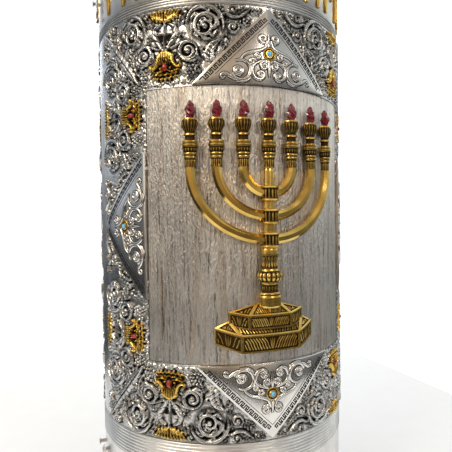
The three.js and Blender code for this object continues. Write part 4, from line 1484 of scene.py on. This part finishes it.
for share, key in ((1, "inner"), (2, "middle"), (3, "outer")):
    obj = lampArm(f"menorah_arm_{key}_bar", share, lampLook["drops"][key])
    giveFinish(obj, finishes["giltPolished"], "front_half", "gilt_polished", f"menorah_arm_{key}")
for i in range(7):
    x = lampLook["x"] + (i - 3) * lampLook["spacing"] * caseRadius
    obj = relievedTurning(f"menorah_cup_{i + 1}_turned", x, cupStations, lampLook["cupSides"], 68, 0.8)
    giveFinish(obj, finishes["gilt"], "front_half", "gilt_cast", f"menorah_cup_{i + 1}")
    obj = flame(f"menorah_flame_{i + 1}_crystal", x, f"menorah_flame_{i + 1}")
    giveFinish(obj, finishes["crystal"], "front_half", "red_crystal", f"menorah_flame_{i + 1}")
stem = relievedTurning("menorah_stem_turned", lampLook["x"], stemStations, lampLook["stemSides"], 99, 0.72)
collars = []
for key, drop in lampLook["drops"].items():
    middle = lampLook["top"] - drop
    stations = [(r, middle + h, flutes, dark) for r, h, flutes, dark in collarStations]
    sides = lampLook["stemSides"]
    collars.append(relievedTurning(f"collar_{key}", lampLook["x"], stations, sides, 24, 0.95))
stem = joinPieces("menorah_stem_turned", [stem, *collars])
giveFinish(stem, finishes["gilt"], "front_half", "gilt_cast", "menorah_stem")


# The stepped foot: two half-hexagon tiers, each facet a frame round a sunk, ribbed ground
footPlan = [
    {"name": "lower", "sides": (0.375, -0.69, -0.80), "front": (0.2, -0.735, -0.85), "back": (0.28, -0.645),
     "depth": 10.5 * millimetre},
    {"name": "upper", "sides": (0.278, -0.585, -0.68), "front": (0.148, -0.605, -0.70),
     "back": (0.08, -0.53), "depth": 8 * millimetre},
]
footFrame = {"edge": 1.5 * millimetre, "bevel": 0.3 * millimetre, "sunk": 0.9 * millimetre,
             "cut": 6 * millimetre}


# Each tier is a tube of four strips (top, front, underside, back) in three bays, with both ends filled
def footTier(plan):
    behind = lampLook["behind"]
    near = 1 * millimetre
    side, sideHigh, sideLow = plan["sides"]
    front, frontHigh, frontLow = plan["front"]
    back, backHigh = plan["back"]
    rings = [((side, behind, sideHigh), (back, behind, backHigh)),
             ((side, near, sideHigh), (front, plan["depth"], frontHigh)),
             ((side, near, sideLow), (front, plan["depth"], frontLow)),
             ((side, behind, sideLow), (back, behind, sideLow))]
    table = np.array([[(-end[0], *end[1:]), (-inner[0], *inner[1:]), inner, end] for end, inner in rings])

    def shape(s, t):
        spot = table[np.round(4 * t).astype(int) % 4, np.round(3 * s).astype(int)]
        return lampLook["x"] + spot[:, 0] * caseRadius, spot[:, 1], fieldMid + spot[:, 2] * caseRadius

    obj = shapedGrid(f"foot_{plan['name']}", 3, 4, shape)
    editMesh(obj, mergeDoubles, closeHoles, faceOutwards)
    return obj


# The top and front faces get a raised frame round a sunk ground; the answer marks the grounds
def frameFacets(obj):
    mesh = obj.data
    chosen = [face.index for face in mesh.polygons if face.normal.z > 0.2 or face.normal.y > 0.3
              or (abs(face.normal.x) > 0.2 and face.area > 2e-4)]
    selectParts(obj, "FACE", np.isin(np.arange(len(mesh.polygons)), chosen))
    bpy.ops.mesh.inset(thickness=footFrame["edge"], depth=0, use_individual=True)
    bpy.ops.mesh.inset(thickness=footFrame["bevel"], depth=-footFrame["sunk"], use_individual=True)
    bpy.ops.object.mode_set(mode="OBJECT")
    selected = np.zeros(len(mesh.polygons), dtype=bool)
    mesh.polygons.foreach_get("select", selected)
    return selected


# The part of a flat path that lies inside a convex outline, a margin in from its sides
def keepInside(path, outline, margin):
    edges = np.roll(outline, -1, axis=0) - outline
    normals = np.stack([-edges[:, 1], edges[:, 0]], axis=1) / np.linalg.norm(edges, axis=1)[:, None]
    signs = np.sign(((outline.mean(axis=0) - outline) * normals).sum(axis=1))
    depth = (((path[:, None] - outline[None]) * normals[None]).sum(axis=2) * signs).min(axis=1)
    return path[depth > margin]


ribLook = {"pitch": 1.9 * millimetre, "thick": 0.85 * millimetre, "margin": 0.75 * millimetre,
           "lift": 0.1 * millimetre, "steps": 19}


# Ribs laid on a facet in its own plane: a middle fan, then curved ribs leaning away from it both ways
def facetRibs(middle, along, upward, outline, outward):
    halfLong = np.abs(outline[:, 0]).max()
    halfTall = np.abs(outline[:, 1]).max()
    pitch = max(0.42 * halfTall, ribLook["pitch"])
    paths = []
    for i in (-1, 0, 1):
        tip = (i * 0.8 * pitch, halfTall * (0.9 - 0.2 * abs(i)))
        paths.append(([(i * 0.1 * pitch, -halfTall), tip], (0.3, 0.8, 0.4)))
    for hand in (-1, 1):
        for i in range(int(halfLong / pitch) + 1):
            start = (1.35 + i) * pitch
            bend = [(start - 0.3 * halfTall, -halfTall), (start, -0.4 * halfTall),
                    (start + 0.22 * halfTall, 0.25 * halfTall), (start + 0.75 * halfTall, halfTall)]
            wide = (0.8, 0.65, 0.75) if i % 2 else (0.5, 0.45, 0.5)
            paths.append(([(hand * x, z) for x, z in smoothPath(bend, 5)], wide))
    ribs = []
    for path, widths in paths:
        points = np.array(path)
        path = np.column_stack([spreadEvenly(points[:, k], ribLook["steps"]) for k in (0, 1)])
        path = keepInside(path, outline, ribLook["margin"])
        if len(path) > 2:
            spots = [middle + along * a + upward * b + outward * ribLook["lift"] for a, b in path]
            ribs.append((spots, spreadEvenly(widths, len(path)) * ribLook["thick"]))
    obj = ribbonMesh("facet_ribs", 1, ribs)
    # the ribs carry some painted shade
    storeShare(obj, "recess", np.full(len(obj.data.vertices), 0.4))
    return obj


def lampFoot():
    pieces = []
    for plan in footPlan:
        tier = footTier(plan)
        sunk = frameFacets(tier)
        # painted shade: a little over the whole tier, full on the sunk grounds
        dark = np.full(len(tier.data.vertices), 0.25)
        for face in tier.data.polygons:
            if not sunk[face.index]:
                continue
            corners = [tier.data.vertices[i] for i in face.vertices]
            for corner in corners:
                dark[corner.index] = 1.0
            spots = np.array([corner.co for corner in corners])
            middle = spots.mean(axis=0)
            outward = np.array(face.normal)
            upward = np.array([0.0, 0.0, 1.0]) - outward * outward[2]
            if outward[2] > 0.9:
                upward = np.array([0.0, 1.0, 0.0])
            upward /= np.linalg.norm(upward)
            along = np.cross(upward, outward)
            outline = np.stack([(spots - middle) @ along, (spots - middle) @ upward], axis=1)
            pieces.append(facetRibs(middle, along, upward, outline, outward))
        storeShare(tier, "recess", dark)
        pieces.append(tier)
    foot = joinPieces("menorah_foot_framed", pieces)
    cutAcross(foot, footFrame["cut"])
    wrapPiece(foot)
    editMesh(foot, faceOutwards)
    smoothShade(foot, 30)
    return foot


foot = lampFoot()
giveFinish(foot, finishes["gilt"], "front_half", "gilt_cast", "menorah_foot")
print("lamp made")


# ---------- plain strokes round the upper band, in place of an inscription

strokeLook = {
    "pitch": 0.118, "reach": 1.4, "low": 14.5 * millimetre, "high": 63.5 * millimetre,
    "shortFrom": 18 * millimetre, "barFrom": 30 * millimetre, "wedgeTo": 22 * millimetre,
    "wide": 5.0 * millimetre, "rise": 2.4 * millimetre, "lean": 7 * millimetre,
}


def stroke(x, low, high, wideLow, wideHigh, rise, lean=0.0):
    clearSelection()
    bpy.ops.mesh.primitive_cube_add(size=2)
    obj = bpy.context.object
    places = getPoints(obj)
    top = places[:, 2] > 0
    front = places[:, 1] > 0
    wide = np.where(top, wideHigh, wideLow) / 2 - np.where(front, 0.5 * millimetre, 0.0)
    places[:, 0] = x + places[:, 0] * wide + np.where(top, lean, 0.0)
    inner = np.where(front, 0.6 * millimetre, 0.0)
    places[:, 2] = np.where(top, high - inner, low + inner)
    places[:, 1] = np.where(front, 0.4 * millimetre + rise, 0.1 * millimetre)
    setPoints(obj, places)
    return obj


# Four marks by turns: an upright, a leaning stroke, a short narrow one and a bar over a wedge
def bandStrokes(name, turn):
    look = strokeLook
    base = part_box("front_upper_band")[0][2]
    marks = []
    count = int(look["reach"] / look["pitch"])
    low, high, wide, rise = base + look["low"], base + look["high"], look["wide"], look["rise"]
    for i in range(-count, count + 1):
        x = i * look["pitch"] * caseRadius
        kind = (i * 3 + 40) % 4
        if kind == 0:
            marks.append(stroke(x, low, high, wide * 0.8, wide * 1.3, rise))
        elif kind == 1:
            marks.append(stroke(x - look["lean"] / 2, low, high, wide, wide, rise, look["lean"]))
        elif kind == 2:
            marks.append(stroke(x, low + look["shortFrom"], high, wide * 0.6, wide * 0.7, rise))
        else:
            marks.append(stroke(x, low + look["barFrom"], high, wide * 1.4, wide * 1.4, rise))
            marks.append(stroke(x, low, low + look["wedgeTo"], wide * 0.6, wide * 1.5, rise * 0.9))
    obj = joinPieces(name, marks)
    editMesh(obj, lambda: bpy.ops.mesh.bevel(offset=0.25 * millimetre, segments=2))
    # painted shade on the low sides of the strokes, darkest where they meet the band
    storeShare(obj, "recess", np.clip(0.9 - getPoints(obj)[:, 1] / (1.3 * millimetre), 0, 1))
    wrapPiece(obj, turn)
    editMesh(obj, faceOutwards)
    smoothShade(obj, 30)
    return obj


for half, side, body in halfPlan:
    obj = bandStrokes(f"{half}_band_strokes", halfTurn[side])
    giveFinish(obj, finishes["gilt"], body, "gilt_cast")
print("band strokes made")


# ---------- camera, lights and floor

cameraLook = {"distance": 4.2173, "azimuth": 0.34686, "height": 0.3336, "yaw": 0.0123, "pitch": -0.0168,
              "roll": -0.0117, "lens": 38.12}


def addCamera():
    look = cameraLook
    yaw, pitch, roll = look["yaw"], look["pitch"], look["roll"]
    ahead = Vector((math.sin(yaw) * math.cos(pitch), math.cos(yaw) * math.cos(pitch), math.sin(pitch)))
    right = Vector((math.cos(yaw), -math.sin(yaw), 0))
    up = right.cross(ahead)
    axisX = math.cos(roll) * right + math.sin(roll) * up
    axisY = -math.sin(roll) * right + math.cos(roll) * up
    facing = Matrix((axisX, axisY, -ahead)).transposed().to_4x4()
    turn = Matrix.Rotation(-look["azimuth"], 4, "Z")
    place = Matrix.Translation((0, -look["distance"] * caseRadius, look["height"]))
    data = bpy.data.cameras.new("camera")
    data.lens = look["lens"]
    data.sensor_width = 36
    camera = bpy.data.objects.new("camera", data)
    bpy.context.scene.collection.objects.link(camera)
    camera.matrix_world = turn @ place @ facing
    bpy.context.scene.camera = camera


lightPlan = [
    {"name": "warm_key", "azimuth": -58, "high": 1.15, "far": 1.2, "size": 0.4, "power": 6.5,
     "colour": (1.0, 0.87, 0.70)},
    {"name": "front_soft", "azimuth": 16, "high": 0.85, "far": 1.4, "size": 0.3, "power": 2.2,
     "colour": (1.0, 0.93, 0.84)},
    {"name": "cool_right", "azimuth": 150, "high": 0.6, "far": 1.3, "size": 0.4, "power": 2.5,
     "colour": (0.84, 0.92, 1.0)},
    {"name": "back_soft", "azimuth": 185, "high": 1.1, "far": 1.5, "size": 0.6, "power": 3.5,
     "colour": (0.9, 0.95, 1.0)},
]


def addLights():
    for plan in lightPlan:
        data = bpy.data.lights.new(plan["name"], "AREA")
        data.size = plan["size"]
        data.energy = plan["power"]
        data.color = plan["colour"]
        light = bpy.data.objects.new(plan["name"], data)
        bpy.context.scene.collection.objects.link(light)
        angle = math.radians(plan["azimuth"])
        light.location = (plan["far"] * math.sin(angle), -plan["far"] * math.cos(angle), plan["high"])
        ahead = Vector((0, 0, fieldMid)) - light.location
        light.rotation_euler = ahead.to_track_quat("-Z", "Y").to_euler()


# What the metal mirrors: soft panels and gaps all round, by turn from the back of the case, and by height
worldLook = {
    "round": [(0.0, (0.30, 0.31, 0.33)), (0.10, (0.46, 0.50, 0.56)), (0.21, (0.16, 0.17, 0.18)),
              (0.29, (1.10, 1.01, 0.86)), (0.37, (0.62, 0.48, 0.35)), (0.45, (0.38, 0.29, 0.20)),
              (0.51, (0.32, 0.26, 0.22)), (0.545, (0.60, 0.50, 0.38)), (0.59, (0.26, 0.27, 0.28)),
              (0.68, (0.42, 0.43, 0.43)), (0.78, (0.80, 0.84, 0.82)), (1.0, (0.30, 0.31, 0.33))],
    "rise": [(0.0, 0.10), (0.36, 0.12), (0.45, 0.22), (0.52, 0.66), (0.59, 1.45), (0.72, 0.9), (1.0, 1.6)],
    "plain": (1.2, 1.2, 1.2),
}


def addWorld():
    world = bpy.data.worlds.new("studio")
    bpy.context.scene.world = world
    world.use_nodes = True
    tree = world.node_tree

    def sums(kind, first, second):
        node = tree.nodes.new("ShaderNodeMath")
        node.operation = kind
        for socket, value in zip(node.inputs, (first, second)):
            if isinstance(value, (int, float)):
                socket.default_value = value
            else:
                tree.links.new(value, socket)
        return node.outputs[0]

    def ramp(value, stops):
        node = tree.nodes.new("ShaderNodeValToRGB")
        node.color_ramp.interpolation = "EASE"
        for place, colour in stops[1:-1]:
            node.color_ramp.elements.new(place)
        for element, (place, colour) in zip(node.color_ramp.elements, stops):
            element.position = place
            element.color = (*colour, 1) if isinstance(colour, tuple) else (*[colour / 2] * 3, 1)
        tree.links.new(value, node.inputs[0])
        return node.outputs[0]

    coords = tree.nodes.new("ShaderNodeTexCoord")
    split = tree.nodes.new("ShaderNodeSeparateXYZ")
    tree.links.new(coords.outputs["Generated"], split.inputs[0])
    turn = sums("ARCTAN2", split.outputs["X"], sums("MULTIPLY", split.outputs["Y"], -1.0))
    turn = sums("ADD", sums("DIVIDE", turn, 2 * math.pi), 0.5)
    rise = sums("ADD", sums("MULTIPLY", split.outputs["Z"], 0.5), 0.5)
    shade = tree.nodes["Background"]
    tree.links.new(ramp(turn, worldLook["round"]), shade.inputs["Color"])
    tree.links.new(sums("MULTIPLY", ramp(rise, worldLook["rise"]), 2.0), shade.inputs["Strength"])
    plain = tree.nodes.new("ShaderNodeBackground")
    plain.inputs["Color"].default_value = (*worldLook["plain"], 1)
    plain.inputs["Strength"].default_value = 1.0
    view = tree.nodes.new("ShaderNodeLightPath")
    mix = tree.nodes.new("ShaderNodeMixShader")
    tree.links.new(view.outputs["Is Glossy Ray"], mix.inputs[0])
    tree.links.new(plain.outputs[0], mix.inputs[1])
    tree.links.new(shade.outputs[0], mix.inputs[2])
    tree.links.new(mix.outputs[0], tree.nodes["World Output"].inputs["Surface"])


def addFloor():
    clearSelection()
    bpy.ops.mesh.primitive_grid_add(x_subdivisions=8, y_subdivisions=8, size=1.0, location=(0, 0, 0))
    floor = bpy.context.object
    floor.name = "studio_floor"
    finish = Finish("floor_pale")
    speck = finish.noise(30.0, 3.0)
    finish.feed("Base Color", finish.mix(speck, tone(0.70, 0.70, 0.69), tone(0.74, 0.74, 0.73)))
    finish.feed("Roughness", 0.6 + speck * 0.1)
    floor.data.materials.append(finish.material)


bpy.context.scene.view_settings.view_transform = "Standard"
addCamera()
addLights()
addWorld()
addFloor()
print("studio set")

# The hinges and clasps are kept from the frame
for name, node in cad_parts.items():
    if "hinge" in name or "clasp" in name:
        node.data.materials.clear()
        node.data.materials.append(finishes["hardware"])
